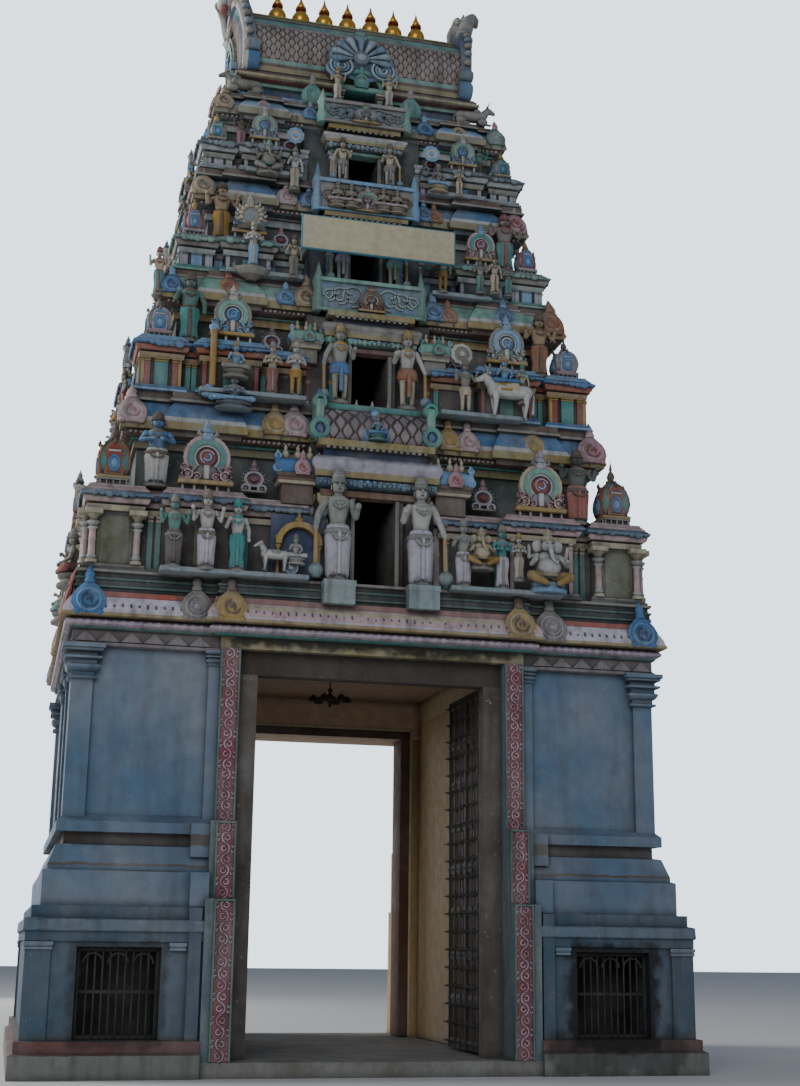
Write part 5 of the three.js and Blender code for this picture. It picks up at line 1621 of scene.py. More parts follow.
def build_porch(piece, t):
    """The middle bay, front and back: door posts, lintel, beaded valance, a large roll and the
    lattice vault with its scrolled ends."""
    less, floor_z, neck, top = t.less, t.floor, t.neck, t.top
    door, door_top = t.door, t.door_top
    front = t.half - less - PORCH_IN
    room_depth = t.room - less
    rise = neck - door_top
    pillar, lintel, beads, roll = t.porch
    width = t.hood
    porch = new_part()

    def up(share):
        return door_top + rise * share

    # The door reveals take the recess shade colour, as painted shade.
    for hand in (-1, 1):
        xs = hand * (door + 0.13), hand * PORCH_HALF
        courses(porch, oblong(*xs, -front + 0.1, -room_depth), rows(t.sill[0], (0.07, floor_z), t.sill[1],
            (0.07, floor_z + 0.06), t.hollow, (0.0, floor_z + 0.07), (0.0, door_top + 0.02)))
        block(porch, (hand * door, -front, floor_z), (hand * (door + 0.13), -room_depth, door_top + 0.02),
            t.hollow, 0.008)
        block(porch, (hand * door, -front - 0.03, floor_z + 0.02),
            (hand * (door + 0.06), -front + 0.02, door_top), pillar, 0.006)
        put(porch, pilaster(t.side_shaft, t.cap, CHALK), spot_on(
            0, hand * (width - 0.02), front - 0.04, floor_z + 0.04, (0.8, 0.6, door_top - floor_z)))
        put(porch, pilaster(t.shaft, t.cap, CHALK), spot_on(
            0, hand * (PORCH_HALF - 0.02), front - 0.12, floor_z + 0.04, (0.6, 0.5, door_top - floor_z)))
    # A block in the recess shade colour paints the shade behind the porch.
    block(porch, (-PORCH_HALF, -front + 0.12, door_top), (PORCH_HALF, -room_depth, neck), t.hollow, 0.01)
    courses(porch, [(-width, -front), (width, -front), (width, -room_depth, 0), (-width, -room_depth)],
        rows(pillar, (0.0, door_top), lintel, (0.04, door_top + 0.01), (0.05, up(0.12)), SHADOW,
        (0.0, up(0.13)), beads, (0.02, up(0.15)), (0.12, up(0.18)), (0.13, up(0.3)), UMBER, (0.1, up(0.31)),
        OLD_YELLOW, (0.15, up(0.33)), (0.16, up(0.44)), roll, (0.16, up(0.46)), (0.2, up(0.54)),
        (0.19, up(0.63)), (0.12, up(0.72)), NAVY, (0.0, up(0.74)), (0.0, up(0.9)), OLD_YELLOW,
        (0.1, up(0.92)), (0.1, neck + 0.04), NAVY, (0.04, neck + 0.045)))
    bead_row(porch, 0, -width - 0.1, width + 0.1, front + 0.135, up(0.23), 0.075,
        (0.085, 0.05, 0.1), bead(beads), 0.35)
    bead_row(porch, 0, -width - 0.1, width + 0.1, front + 0.15, up(0.27), 0.1,
        (0.045, 0.03, 0.045), bead(SKY), 0.4)
    bead_row(porch, 0, -width, width, front + 0.08, up(0.9), 0.09, (0.05, 0.04, 0.04),
        bead(STONE, "block"))
    vault_low, vault_high = neck + 0.045, top - 0.1
    back = max(0.2, t.eave - less - 0.05)
    if t.parapet:
        build_parapet(porch, t, vault_low, back)
    else:
        build_vault(porch, t, vault_low, vault_high, back)
    put_twice(piece, keep(porch))


NECK_FOOT_HALF = 2.34
for t, above in zip(STOREYS, [*STOREY_TABLE["half"][1:], NECK_FOOT_HALF]):
    walls = ("wall_left", "wall_right", "porch_front", "porch_back", "cornice")
    finish_piece(build_storey(t, above), f"{t.name}_storey", painted_stucco,
        stands_for=[f"{t.name}_{wall}" for wall in walls])


# Neck: a low hollow storey with a doorway under a small green arch, front and back, and lying
# bulls at its corners. Its cornice carries the barrel roof. Brick and lime plaster, painted.
LIP_TAN = paint("a59b78")
NECK_HALF = 1.98
NECK_DEPTH = 1.05
NECK_DOOR = 0.27
NECK_ROOM = 1.62
NECK_ROOM_DEPTH = 0.69
NECK_DOOR_TOP = 15.875
half_neck = new_part()
courses(half_neck, [(NECK_DOOR, -NECK_DEPTH), (NECK_HALF, -NECK_DEPTH), (NECK_HALF, NECK_DEPTH),
    (NECK_DOOR, NECK_DEPTH, 0), (NECK_DOOR, NECK_ROOM_DEPTH, 0), (NECK_ROOM, NECK_ROOM_DEPTH, 0),
    (NECK_ROOM, -NECK_ROOM_DEPTH, 0), (NECK_DOOR, -NECK_ROOM_DEPTH, 0)], rows(STONE, (0.2, 15.5),
    (0.24, 15.52), TEAL, (0.24, 15.56), (0.16, 15.6), SKY, (0.14, 15.68), NAVY, (0.1, 15.69), (0.0, 15.7),
    (0.0, 15.88), MINT, (0.06, 15.89), (0.06, 15.955)))
neck = new_part()
mirror_halves(neck, keep(half_neck))
for hand in (-1, 1):
    block(neck, (-NECK_DOOR - 0.02, hand * 0.87 - 0.18, NECK_DOOR_TOP),
          (NECK_DOOR + 0.02, hand * 0.87 + 0.18, 15.955), NAVY)
courses(neck, oblong(-2.06, 2.06, -1.16, 1.16), rows(BRICK, (0.0, 15.957), (0.04, 15.975), LIP_TAN,
    (0.06, 15.98), (0.09, 16.0), (0.09, 16.045), UMBER, (0.05, 16.055), (0.05, 16.1), STONE, (0.02, 16.105),
    (0.02, 16.138)))
neck_frame = new_part()
for hand in (-1, 1):
    put(neck_frame, pilaster(TEAL, CREAM, STONE), spot_on(0, hand * 0.345, 1.24, 15.52, (0.6, 0.8, 0.4)))
courses(neck_frame, oblong(-0.42, 0.42, -1.3, -1.02), rows(TEAL, (0.0, 15.91), (0.03, 15.93), MINT,
    (0.05, 15.96), (0.05, 16.0), TEAL, (0.0, 16.03)))
arc_ribbon(neck_frame, (0, -1.3, 15.93), 0.36, 12, 156, 0.07, 0.06, TEAL, 12)
put(neck_frame, medallion(TEAL, MINT, FOREST, MINT, TEAL), spot_on(0, 0.0, 1.36, 15.99, 0.26))
neck_frame = keep(neck_frame)
for side in (0, 2):
    put(neck, neck_frame, faced(side))
    for hand in (-1, 1):
        put(neck, standing(CREAM, CHALK, OCHRE, "raised"), spot_on(side, hand * 0.45, 1.52, 15.56, 0.66))
        put(neck, medallion(TEAL, MINT, TEAL, MINT, STONE), spot_on(side, hand * 0.86, 1.4, 15.52, 0.36))
for hand in (-1, 1):
    for depth in (-1, 1):
        flat = Matrix.Rotation(pi if hand < 0 else 0.0, 4, "Z")
        put(neck, beast(STONE, CHALK, "lying"), Matrix.Translation((hand * 2.02, depth * 1.22, 15.6)) @ flat
            @ Matrix.Scale(0.62, 4))
    put(neck, big_arch(BLUE, SKY, TEAL, NAVY, PINK, BLUE), spot_on(2 - hand, 0, 2.2, 15.56, 0.62))
finish_piece(neck, "neck_plaster", painted_stucco, stands_for=["neck_storey", "neck_cornice"])


# Barrel roof: a brick vault, plastered and painted with a net of raised brown diamonds between
# bands of teal, with a large fan-shaped medallion in the middle of each long side.
ROOF = {"radius": 1.16, "rise": 1.15, "centre": 16.5, "half": 1.93}
roof_wash = weathered("roof_wash", paint("5c8f8c"), 0.4, 0.5, 0.6, 0.3)
dress(roof_wash, "barrel_roof")


def on_roof(across, up, lift):
    angle = radians(-6 + 34 * up)
    out = 0.035 + 0.025 * lift
    return Vector((
        across * 2 * ROOF["half"], -(ROOF["radius"] + out) * cos(angle),
        ROOF["centre"] + (ROOF["rise"] + out) * sin(angle),
    ))


roof = new_part()
net = diamond_net(24, 4, paint("968076"), paint("241a17"), on_roof)
put_twice(roof, net)
ROOF_TEAL = paint("6ea39b")
ROOF_BANDS = [
    (-17, -13, 0.1, paint("9b8f68")), (-13, -10, 0.07, UMBER), (-10, -6, 0.06, paint("7fa59c")),
    (28, 31, 0.075, STONE), (31, 44, 0.05, ROOF_TEAL), (44, 46, 0.06, UMBER), (46, 62, 0.05, ROOF_TEAL),
    (62, 65, 0.08, LIP_TAN), (65, 72, 0.06, TEAL),
]
for start, end, out, colour in ROOF_BANDS:
    section = []
    for degrees, lift in ((start, -0.04), (start, out), (end, out), (end, -0.04)):
        angle = radians(degrees)
        reach, rise = ROOF["radius"] + lift, ROOF["rise"] + lift
        section.append((-reach * cos(angle), ROOF["centre"] + rise * sin(angle)))
    band = new_part()
    stack(band, [[(x, y, z) for y, z in section] for x in (-ROOF["half"], ROOF["half"])], [colour, colour])
    put_twice(roof, keep(band))
FAN_PETALS = 9
FAN_PALE = paint("94b3bf")
FAN_BLUE = paint("5e8ba8")
fan = new_part()
turned(fan, rows(FAN_PALE, (0.5, -0.06), FAN_BLUE, (0.55, 0.02), (0.5, 0.06), paint("38597a"), (0.46, 0.03),
    (0.0, 0.02)), 24, (0, 0, 0.4), (1.12, 0.94), axis="Y")
for i in range(FAN_PETALS):
    angle = radians(-10 + i * 200 / (FAN_PETALS - 1))
    out = Vector((1.12 * cos(angle), 0, 0.94 * sin(angle)))
    middle = Vector((0, -0.05, 0.4))
    tone = FAN_PALE if i % 2 else FAN_BLUE
    rod(fan, middle + out * 0.14, middle + out * 0.44, 0.025, 0.085, tone, 8)
    ball(fan, middle + out * 0.45, (0.088, 0.07, 0.088), tone, 6, 9)
turned(fan, rows(FAN_BLUE, (0.16, 0.0), FAN_PALE, (0.15, 0.08), paint("38597a"), (0.09, 0.1), FAN_PALE,
    (0.06, 0.13), (0.0, 0.14)), 14, (0, -0.02, 0.4), axis="Y")
for hand in (-1, 1):
    for reach, tone in ((0.34, FAN_PALE), (0.22, FAN_BLUE), (0.12, FAN_PALE)):
        arc_ribbon(fan, (hand * 0.4, -0.06, 0.14), reach * 0.62, 90 - hand * 60,
                   -hand * 250, 0.045, 0.05, tone, 10)
    turned(fan, rows(FAN_BLUE, (0.16, -0.06), (0.18, 0.05), FAN_PALE, (0.13, 0.08), paint("38597a"),
        (0.09, 0.06), FAN_PALE, (0.0, 0.09)), 12, (hand * 0.52, 0, 0.1), axis="Y")
turned(fan, rows(FOREST, (0.12, 0.84), TEAL, (0.16, 0.9), FOREST, (0.08, 0.95), TEAL, (0.12, 1.02), FOREST,
    (0.07, 1.1), TEAL, (0.0, 1.22)), 8, (0, 0, 0), (1, 0.7), pleat=0.1)
fan = keep(fan)
for side in (0, 2):
    put(roof, fan, spot_on(side, 0, 1.33, 16.19, 0.92, -10))
finish_piece(roof, "roof_net", painted_stucco)


# Ridge: a moulded beam of brick and plaster along the top, in teal with a yellow-green line.
ridge = new_part()
courses(ridge, oblong(-1.94, 1.94, -0.36, 0.36), rows(TEAL, (0.1, 17.6), (0.1, 17.642), MINT, (0.04, 17.65),
    (0.04, 17.69), paint("8f9a4e"), (0.07, 17.7), (0.07, 17.725), TEAL, (0.0, 17.73), (0.0, 17.748)))
finish_piece(ridge, "ridge_moulding", painted_stucco, stands_for=["ridge_beam"])


# Gable ends: thick horseshoe plates of brick that flare outwards, with concentric plaster rings,
# an arched relief in the middle, a leafy rim, scrolls at the foot and a crest with a lion face
# between two curled horns.
GABLE_X = (1.952, 2.11)
GABLE_LEAN = 0.13
EDGE_TAN = paint("8d8478")
EDGE_BLUE = paint("6f8492")
END_FACE = paint("5a6f80")
FOOT_BLUE = paint("4178a4")
GABLE_EDGE = [
    (1.1, 16.142), (1.22, 16.5), (1.19, 16.95), (1.04, 17.35), (0.82, 17.66), (0.55, 17.92), (0.3, 18.02),
    (0.0, 18.06),
]
right_gable = new_part()
outline = GABLE_EDGE + [(-y, z) for y, z in GABLE_EDGE[-2::-1]]
rings = [[(x, y, z) for y, z in outline] for x in GABLE_X]
stack(right_gable, rings, [END_FACE, END_FACE])
outer = max(right_gable.faces, key=lambda face: face.calc_center_median().x)
inner = min(right_gable.faces, key=lambda face: face.calc_center_median().x)
coat(right_gable, [inner], NAVY)
coat(right_gable, [outer], END_FACE)
for thickness, depth, colour in [(0.1, -0.03, paint("4a6c88")), (0.05, 0.05, STONE), (0.1, 0.0, BLUSH),
        (0.04, -0.05, NAVY), (0.12, 0.0, TEAL), (0.05, 0.06, END_FACE)]:
    made = bmesh.ops.inset_region(right_gable, faces=[outer], thickness=thickness, depth=depth)["faces"]
    coat(right_gable, made, colour)
coat(right_gable, [outer], UMBER)
put(right_gable, big_arch(*STONE_ARCH), Matrix.Translation((2.17, 0, 16.24)) @ Matrix.Rotation(
    pi / 2, 4, "Z") @ Matrix.Scale(1.15, 4))
for hand in (-1, 1):
    for (y0, z0), (y1, z1) in zip(GABLE_EDGE[:-1], GABLE_EDGE[1:]):
        for share in (0.25, 0.75):
            y, z = y0 + (y1 - y0) * share, z0 + (z1 - z0) * share
            ball(right_gable, (2.07, hand * (y + 0.02), z + 0.02), (0.075, 0.07, 0.07),
                EDGE_BLUE if share < 0.5 else EDGE_TAN, 6, 8)
    for place_z, place_y, size, colour in ((16.3, 1.17, 0.19, FOOT_BLUE), (16.56, 1.25, 0.12, EDGE_BLUE),
            (16.24, 0.93, 0.11, SKY)):
        curl = new_part()
        turned(curl, rows(colour, (size, -0.17), (size * 1.06, 0.03), STONE, (size * 0.75, 0.08), colour,
            (size * 0.6, 0.04), (size * 0.3, 0.05), STONE, (0.0, 0.1)), 12, axis="Y")
        put(right_gable, keep(curl), Matrix.Translation((2.07, hand * place_y, place_z))
            @ Matrix.Rotation(pi / 2, 4, "Z"))
    limb(right_gable, [(x, hand * y, z, radius) for x, y, z, radius in ((2.06, 0.62, 17.8, 0.15),
        (2.1, 0.6, 17.98, 0.14), (2.16, 0.54, 18.14, 0.12), (2.25, 0.46, 18.26, 0.1),
        (2.33, 0.38, 18.28, 0.075), (2.36, 0.32, 18.22, 0.05))], STONE, 1, 10)
ball(right_gable, (2.1, 0, 18.14), (0.2, 0.27, 0.25), STONE, 10, 14)
ball(right_gable, (2.28, 0, 18.08), (0.12, 0.17, 0.1), CHALK, 8, 12)
ball(right_gable, (2.27, 0, 17.97), (0.08, 0.14, 0.05), BRICK, 6, 10)
for hand in (-1, 1):
    ball(right_gable, (2.25, hand * 0.12, 18.22), (0.06, 0.065, 0.06), CHALK, 6, 10)
    ball(right_gable, (2.3, hand * 0.12, 18.22), (0.02, 0.03, 0.03), HAIR, 6, 8)
    rod(right_gable, (2.1, hand * 0.2, 18.28), (2.14, hand * 0.3, 18.44), 0.06, 0.015, STONE, 8)
for i in range(7):
    angle = radians(-54 + i * 18)
    ball(right_gable, (2.06, 0.27 * sin(angle), 18.16 + 0.27 * cos(angle)), (0.06, 0.055, 0.075), STONE, 5, 8)
for vert in right_gable.verts:
    vert.co.x -= GABLE_LEAN * max(0.0, min(1.0, (18.0 - vert.co.z) / 1.2))
gable_mesh = keep(right_gable)
for hand, turn in (("right", 0), ("left", pi)):
    gable = new_part()
    put(gable, gable_mesh, Matrix.Rotation(turn, 4, "Z"))
    finish_piece(gable, f"gable_plaster_{hand}", painted_stucco, stands_for=[f"gable_{hand}"])


# Kalasams: seven finials of beaten and gilded copper, spun in rings over a wooden core, with a
# reddish-brown collar under each spire.
def gilt_material():
    material, tree = new_material("gilt_copper")
    ground = node(tree, "ShaderNodeAttribute", attribute_name="paint").outputs["Color"]
    spot = node(tree, "ShaderNodeTexCoord").outputs["Object"]
    stain = ramp(tree, noise(tree, spot, 9, 5), 0.45, 0.75, 0.0, 0.5)
    dulled = mix(tree, stain, ground, (0.2, 0.1, 0.04, 1))
    surface(tree, dulled, ramp(tree, stain, 0.0, 0.5, 0.26, 0.55), noise(tree, spot, 30, 3), 0.15, 0.004,
        Metallic=0.85)
    return material


gilt_copper = gilt_material()
GILT = paint("d9a441")
COLLAR = paint("8c4a24")
KALASAM = {"count": 7, "pitch": 0.433, "foot": 17.7503, "height": 0.758, "radius": 0.164}
KALASAM_STEPS = rows(GILT, (0.62, 0.0), (0.64, 0.02), (0.38, 0.05), (0.36, 0.09), (0.5, 0.12), (0.82, 0.18),
    (0.97, 0.25), (1.0, 0.32), (0.95, 0.39), (0.78, 0.46), (0.5, 0.52), COLLAR, (0.4, 0.54), (0.6, 0.565),
    (0.64, 0.59), (0.56, 0.61), (0.6, 0.625), GILT, (0.6, 0.65), (0.38, 0.68), (0.44, 0.71), (0.3, 0.76),
    (0.16, 0.84), (0.06, 0.95), (0.0, 1.0))
for i in range(KALASAM["count"]):
    finial = new_part()
    x = (i - (KALASAM["count"] - 1) / 2) * KALASAM["pitch"]
    turned(finial, [(r * KALASAM["radius"], z * KALASAM["height"], colour) for r, z, colour in KALASAM_STEPS],
        24, (x, 0, KALASAM["foot"]))
    finish_piece(finial, f"finial_{i + 1}", gilt_copper, stands_for=[f"kalasam_{i + 1}"])


# Sign board: a sheet-metal box on two iron arms, cream on its face and teal on its edges. Its
# face is left bare.
SIGN_X = (-1.18, 1.33)
SIGN_Z = (12.27, 12.86)
SIGN_FRONT = -2.62
SIGN_BACK = -2.56
SIGN_BORDER = 0.02
SIGN_ARM = 1.06
sign = new_part()
block(sign, (SIGN_X[0], SIGN_FRONT + 0.008, SIGN_Z[0]), (SIGN_X[1], SIGN_BACK, SIGN_Z[1]),
    paint("2b7f95"), 0.006)
block(sign, (SIGN_X[0] + SIGN_BORDER, SIGN_FRONT, SIGN_Z[0] + SIGN_BORDER),
    (SIGN_X[1] - SIGN_BORDER, SIGN_BACK - 0.01, SIGN_Z[1] - SIGN_BORDER), paint("c6be9c"), 0.003)
for side_x in (-1, 1):
    arm_x = side_x * SIGN_ARM
    block(sign, (arm_x - 0.03, SIGN_BACK - 0.01, 12.25), (arm_x + 0.03, -2.07, 12.31), IRON)
sign_coat = weathered("sign_coat", None, 0.15, 0.1, 0.3, 0.12, 0.8, 0.1)
finish_piece(sign, "sign_panel", sign_coat, stands_for=["sign_board"])


# Figures of the storeys: temple types of brick and plaster, set on the sills and the ledges. The
# front follows its own order, and the sides and the back repeat the same types by a seeded draw.
@form
def hood_canopy(part, field, hood, seat):
    """A canopy of hoods that fan out behind a figure, one metre wide, on a moulded seat."""
    turned(part, rows(field, (0.36, -0.06), (0.42, 0.03), hood, (0.28, 0.07), field, (0.0, 0.06)), 16,
        (0, 0, 0.42), axis="Y")
    flames(part, 0.38, 0.42, 0.1, (hood, field, CHALK), 13, 230)
    for i in range(9):
        angle = radians(-20 + i * 27.5)
        ball(part, (0.3 * cos(angle), -0.07, 0.42 + 0.3 * sin(angle)), (0.08, 0.05, 0.08), hood, 5, 8)
    turned(part, rows(seat, (0.4, -0.06), (0.46, 0.02), (0.36, 0.08), (0.38, 0.12)), 16, squash=(1, 0.4),
        pleat=0.06)


@form
def spoked_wheel(part, rim, hub):
    """A chariot wheel, one metre across, with six spokes."""
    turned(part, rows(rim, (0.42, -0.05), (0.5, -0.05), (0.5, 0.05), (0.42, 0.05), hub, (0.4, 0.0),
        (0.12, 0.0), rim, (0.12, 0.07), (0.0, 0.07)), 16, (0, 0, 0.5), axis="Y")
    for i in range(6):
        out = Vector((cos(i * pi / 3), 0, sin(i * pi / 3)))
        rod(part, Vector((0, -0.02, 0.5)), Vector((0, -0.02, 0.5)) + out * 0.43, 0.03, 0.025, rim, 6)


@form
def shrine_arch(part, gold, field):
    """A gilded arch on two posts over a plain field, one metre wide and 1.3 high."""
    block(part, (-0.52, 0.0, -0.02), (0.62, 0.06, 1.3), field, 0.01)
    arc_ribbon(part, (0.05, 0.0, 0.66), 0.42, 0, 180, 0.12, 0.14, gold, 14)
    for x in (-0.37, 0.47):
        turned(part, rows(gold, (0.06, 0.0), (0.04, 0.08), (0.035, 0.56), (0.07, 0.62), (0.05, 0.68)), 8,
            (x, -0.06, 0))
        ball(part, (x - 0.02, -0.06, 0.8), (0.05, 0.05, 0.06), gold, 5, 8)
    turned(part, rows(gold, (0.08, 1.12), (0.1, 1.18), (0.04, 1.24), (0.0, 1.36)), 8, (0.05, -0.06, 0))


@form
def side_vault(part, vault, whorl, base, bud):
    """A short vault on a pier beside the porch, one metre wide and 0.65 high, with three buds."""
    block(part, (-0.36, -0.1, -0.62), (0.36, 0.3, 0.0), base, 0.02)
    courses(part, oblong(-0.44, 0.44, -0.16, 0.3), rows(CREAM, (0.0, -0.16), (0.03, -0.1), base,
        (0.03, -0.02), (0.06, 0.0), (0.06, 0.07)))
    curve = [(0.02, 0.08), (0.07, 0.18), (0.06, 0.32), (-0.02, 0.42), (-0.1, 0.46)]
    courses(part, oblong(-0.46, 0.46, -0.16, 0.3), rows(vault, *curve))
    put(part, medallion(whorl, BLUSH, whorl, BRICK, whorl), Matrix.Translation((0.08, -0.26, 0.05))
        @ Matrix.Scale(0.36, 4))
    for hand in (-1, 1):
        put(part, scroll_end(vault, CHALK, SKY), Matrix.Translation((hand * 0.47, -0.1, 0.05))
            @ Matrix.Scale(0.52, 4))
    for x in (-0.28, 0.0, 0.28):
        turned(part, rows(bud, (0.05, 0.44), (0.085, 0.52), (0.07, 0.6), (0.03, 0.65), (0.045, 0.7),
            (0.0, 0.8)), 8, (x, 0.0, 0))


@form
def petal_disc(part, pale, heart):
    """A round fan of petals, one metre across, as it stands over a ledge."""
    turned(part, rows(pale, (0.42, -0.05), (0.5, 0.02), (0.34, 0.06), heart, (0.3, 0.02), (0.14, 0.03), pale,
        (0.12, 0.09), (0.0, 0.09)), 20, (0, 0, 0.5), axis="Y", pleat=0.09)


@form
def banded_pole(part, colour, foot):
    """A thick painted pole, one metre high, on a rocky foot."""
    turned(part, rows(colour, (0.05, 0.0), (0.052, 0.9), foot, (0.08, 0.93), (0.08, 0.97), (0.04, 1.0)), 10)
    for x, z, size in ((-0.04, -0.03, 0.08), (0.06, -0.07, 0.07), (-0.08, -0.12, 0.08), (0.02, -0.15, 0.09)):
        ball(part, (x, 0, z), (size, size * 0.7, size * 0.8), foot, 5, 8)


@form
def bowl(part, colour, rim):
    """A wide bowl with upturned ends, one metre across, on a short foot."""
    turned(part, rows(colour, (0.14, 0.0), (0.18, 0.05), (0.36, 0.14), rim, (0.47, 0.26), (0.5, 0.34),
        (0.44, 0.36), colour, (0.0, 0.33)), 16, squash=(1, 0.6), pleat=0.04)
    for side in (-1, 1):
        limb(part, [(side * 0.42, 0, 0.3, 0.06), (side * 0.52, 0, 0.42, 0.04), (side * 0.48, 0, 0.52, 0.015)],
            rim, 1, 6)


figure_coat = weathered("figure_coat", None, fade=0.35, streaks=0.35, growth=0.55, chips=0.45, scale=1.5,
    reach=0.08)
AGED = paint("979b93")
IVORY = paint("c0bdb8")
SHELF_GREY = paint("8c9aa0")
LAVENDER = paint("cbc6d2")
MUSTARD = paint("a88431")
SARI_TEAL = paint("2f9c9a")
DARK_BROWN = paint("4f403a")
GUARDIANS = [
    [(AGED, LAVENDER, AGED, "robe", None), (IVORY, LAVENDER, AGED, "robe", None)],
    [(AGED, CREAM, OCHRE, "legs", BLUE), (IVORY, CREAM, OCHRE, "legs", ORANGE)],
    [(AGED, IVORY, UMBER, "legs", LILAC), (IVORY, CREAM, STONE, "legs", MINT)],
    [(CREAM, IVORY, UMBER, "legs", STONE), (CREAM, IVORY, UMBER, "legs", STONE)],
]
FRONT = {
    "tier1": [
        (standing(paint("4f9186"), DARK_BROWN, STONE, "raised", "robe"), -3.0, 0.24, 6.84, 1.08),
        (standing(IVORY, LAVENDER, paint("8a8070"), "raised", "robe"), -2.54, 0.26, 6.84, 1.18),
        (standing(IVORY, SARI_TEAL, SARI_TEAL, "bless"), -2.1, 0.24, 6.84, 1.08),
        (shrine_arch(OCHRE, NAVY), -1.21, 0.02, 6.86, 0.72),
        (beast(CHALK, STONE, "horse", -1), -1.56, 0.24, 6.87, 0.44),
        (spoked_wheel(CHALK, BLUE), -1.3, 0.22, 6.85, 0.2),
        (seated(IVORY, CHALK, STONE, CHALK), -1.24, 0.2, 7.0, 0.5),
        (standing(AGED, LAVENDER, STONE, "bless", "robe"), 1.27, 0.24, 6.84, 1.05),
        (elephant_faced(CREAM, MUSTARD, CREAM, STONE), 1.55, 0.24, 7.1, 0.68),
        (standing(SARI_TEAL, LAVENDER, STONE, "hold"), 1.87, 0.24, 6.84, 1.0),
        (standing(IVORY, IVORY, OCHRE, "hold"), 2.12, 0.28, 6.98, 0.74),
        (elephant_faced(IVORY, MUSTARD, CREAM, SKY), 2.57, 0.3, 6.8, 1.02),
        (standing(BLUE, IVORY, UMBER, "hold", "robe"), -3.27, -0.16, 8.12, (1.55, 1.3, 1.14)),
        (standing(FOREST, EAVE_RED, UMBER, "raised", "robe"), 3.24, -0.2, 8.06, (1.6, 1.3, 1.22)),
        (side_vault(BLUE, PINK, UMBER, CREAM), -1.18, -0.2, 8.42, 0.66),
        (side_vault(SKY, PINK, UMBER, CREAM), 1.18, -0.2, 8.42, 0.66),
    ],
    "tier2": [
        (standing(paint("5b8377"), TEAL, UMBER, "bless"), -2.84, -0.2, 10.62, (1.5, 1.3, 1.16)),
        (standing(CREAM, TEAL, BRICK, "raised"), -3.33, -0.34, 11.4, 0.82),
        (banded_pole(MUSTARD, SKY), -2.49, 0.2, 9.8, 1.0),
        (seated(SLATE_GREY, SKY, STONE, SLATE_GREY, "hold"), -2.16, 0.24, 9.44, (0.95, 0.72, 0.62)),
        (seated(SKY, STONE, OCHRE, STONE), -2.15, 0.24, 9.94, 0.66),
        (standing(CREAM, BRICK, STONE, "hold"), -1.58, 0.16, 9.76, 0.88),
        (standing(IVORY, MUSTARD, CREAM, "hold", "legs"), -1.22, 0.16, 9.76, 0.92),
        (standing(STONE, CREAM, STONE, "raised", "legs"), 1.48, 0.16, 9.74, 0.94),
        (petal_disc(IVORY, STONE), 1.46, 0.02, 10.63, 0.34),
        (beast(CHALK, CREAM, "bull", -1), 2.16, 0.24, 9.72, 0.78),
        (seated(SKY, BLUE, OCHRE, GOLD), 2.1, 0.24, 10.14, 0.66),
        (standing(CREAM, BRICK, TEAL, "bless"), 2.4, 0.22, 10.0, 0.66),
        (standing(TAN, ORANGE, UMBER, "raised"), 2.83, -0.2, 10.62, (1.4, 1.3, 1.12)),
        (side_vault(MINT, TEAL, STONE, CREAM), -1.02, -0.16, 10.76, 0.5),
        (side_vault(MINT, TEAL, STONE, CREAM), 1.06, -0.16, 10.76, 0.5),
    ],
    "tier3": [
        (standing(TAN, MUSTARD, UMBER, "raised"), -2.36, -0.18, 12.59, (1.4, 1.3, 1.04)),
        (bowl(paint("6b5d50"), STONE), -1.89, 0.2, 11.8, 0.56),
        (standing(IVORY, SKY, CREAM, "hold"), -1.88, 0.22, 12.02, 0.8),
        (hood_canopy(STONE, CREAM, UMBER), -1.91, 0.04, 12.76, 0.54),
        (standing(CREAM, STONE, UMBER, "bless"), -1.22, 0.16, 11.94, 0.76),
        (standing(CREAM, MUSTARD, TEAL, "down", "legs"), 1.24, 0.16, 11.98, 0.8),
        (standing(STONE, TEAL, UMBER, "raised"), 1.86, 0.22, 12.02, 0.62),
        (standing(CREAM, CREAM, UMBER, "bless"), 2.1, 0.24, 12.02, 0.7),
        (standing(STONE, TEAL, UMBER, "hold"), 2.34, 0.22, 12.02, 0.6),
        (standing(paint("8a7d78"), TEAL, BRICK, "raised"), 2.38, -0.1, 12.59, (1.5, 1.3, 1.06)),
    ],
    "tier4": [
        (elephant_faced(STONE, STONE, MINT, STONE), -1.64, 0.16, 13.82, 0.66),
        (standing(CHALK, CREAM, STONE, "bless"), -1.2, 0.16, 13.62, 0.78),
        (petal_disc(SKY, CHALK), -1.17, -0.04, 14.58, 0.28),
        (petal_disc(SKY, CHALK), 1.17, -0.04, 14.58, 0.28),
        (seated(STONE, SKY, STONE, CREAM), 1.24, 0.16, 13.9, 0.58),
        (standing(CREAM, CREAM, UMBER, "hold"), 1.6, 0.16, 13.88, 0.58),
        (standing(UMBER, PINK, UMBER, "raised"), -2.06, -0.2, 14.41, 0.7),
        (seated(STONE, CREAM, OCHRE, STONE), -1.62, -0.18, 14.41, 0.6),
        (standing(TEAL, FOREST, UMBER, "raised"), 2.06, -0.2, 14.41, 0.7),
    ],
}
SKINS = [CREAM, STONE, SKY, TEAL, IVORY]
CLOTHS = [LAVENDER, ORANGE, BRICK, MUSTARD, TEAL, LILAC, BLUE]
TRIMS = [OCHRE, UMBER, GOLD, STONE]
draw = random.Random(41)


def drawn_figure():
    skin, cloth, trim = draw.choice(SKINS), draw.choice(CLOTHS), draw.choice(TRIMS)
    kind = draw.random()
    if kind < 0.55:
        return standing(skin, cloth, trim, draw.choice(("down", "raised", "bless", "hold")))
    if kind < 0.9:
        return seated(skin, cloth, trim, STONE)
    return elephant_faced(CREAM, cloth, trim, STONE)


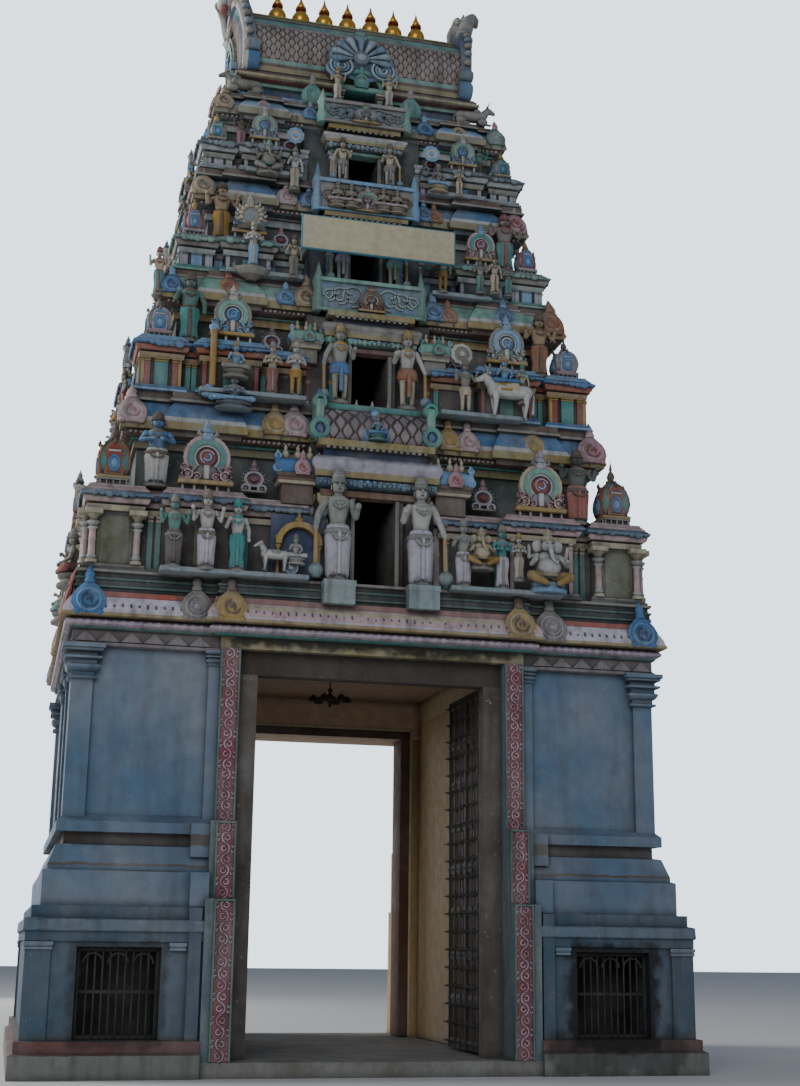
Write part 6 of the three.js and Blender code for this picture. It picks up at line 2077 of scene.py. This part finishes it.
for index, t in enumerate(STOREYS):
    figures = new_part()
    half, less, k = t.half, t.less, t.guard / STOREYS[0].guard
    porch_front = half - less - PORCH_IN
    foot = t.floor + (0.02 if index == 0 else 0.04)
    for side in (0, 2):
        for hand, (skin, cloth, trim, kind, sash) in zip((-1, 1), GUARDIANS[index]):
            x = hand * (t.door + 0.32 * k) + 0.02
            if index:
                pedestal = new_part()
                block(pedestal, (x - 0.22 * k, -porch_front - 0.3 * k, t.floor - 0.22), (
                    x + 0.22 * k, -porch_front + 0.05, foot), PEDESTAL, 0.012)
                put(figures, keep(pedestal), faced(side))
            pose = "club_left" if hand < 0 else "club_right"
            put(figures, standing(skin, cloth, trim, pose, kind, sash), spot_on(
                side, x, porch_front + 0.14 * k + 0.09, foot, t.guard))
    for figure, along, out, z, height in FRONT[t.name]:
        put(figures, figure, spot_on(0, along, half - less + out, z, height))
    shelf = new_part()
    shelf_spans = [(-t.bay_x - 0.62 * k, -PORCH_HALF - 0.06), (PORCH_HALF + 0.06, t.bay_x + 0.25 * k)]
    for low, high in shelf_spans:
        block(shelf, (low, -(half - less) - 0.36 * k, t.floor - 0.03),
            (high, -(half - less) + 0.05, t.floor + 0.04), SHELF_GREY, 0.01)
    put_twice(figures, keep(shelf))
    sill_height = t.wall - t.floor
    ledge_height = (t.neck - t.ledge) * 1.05
    for side in (1, 2, 3):
        face = side_distance(t, side, half)
        run = side_distance(t, side + 1, half)
        if side == 2:
            sill_places = [s * x for s in (-1, 1) for x in (1.25, t.bay_x - 0.3 * k, t.bay_x + 0.3 * k)]
            ledge_places = [s * (t.bay_x + t.dome_x) / 2 for s in (-1, 1)]
        else:
            middle = (t.bay + run - t.pavilion) / 2
            sill_places = [-middle, -t.bay * 0.45, t.bay * 0.45, middle]
            ledge_places = [-t.bay - 0.22 * k, t.bay + 0.22 * k]
        for along in sill_places:
            put(figures, drawn_figure(), spot_on(
                side, along, face + 0.1, t.floor + 0.06, sill_height * draw.uniform(0.9, 1.04)))
        for along in ledge_places:
            put(figures, drawn_figure(), spot_on(
                side, along, face - 0.28 * k, t.ledge, ledge_height * draw.uniform(0.95, 1.12)))
    finish_piece(figures, f"{t.name}_figures", figure_coat)
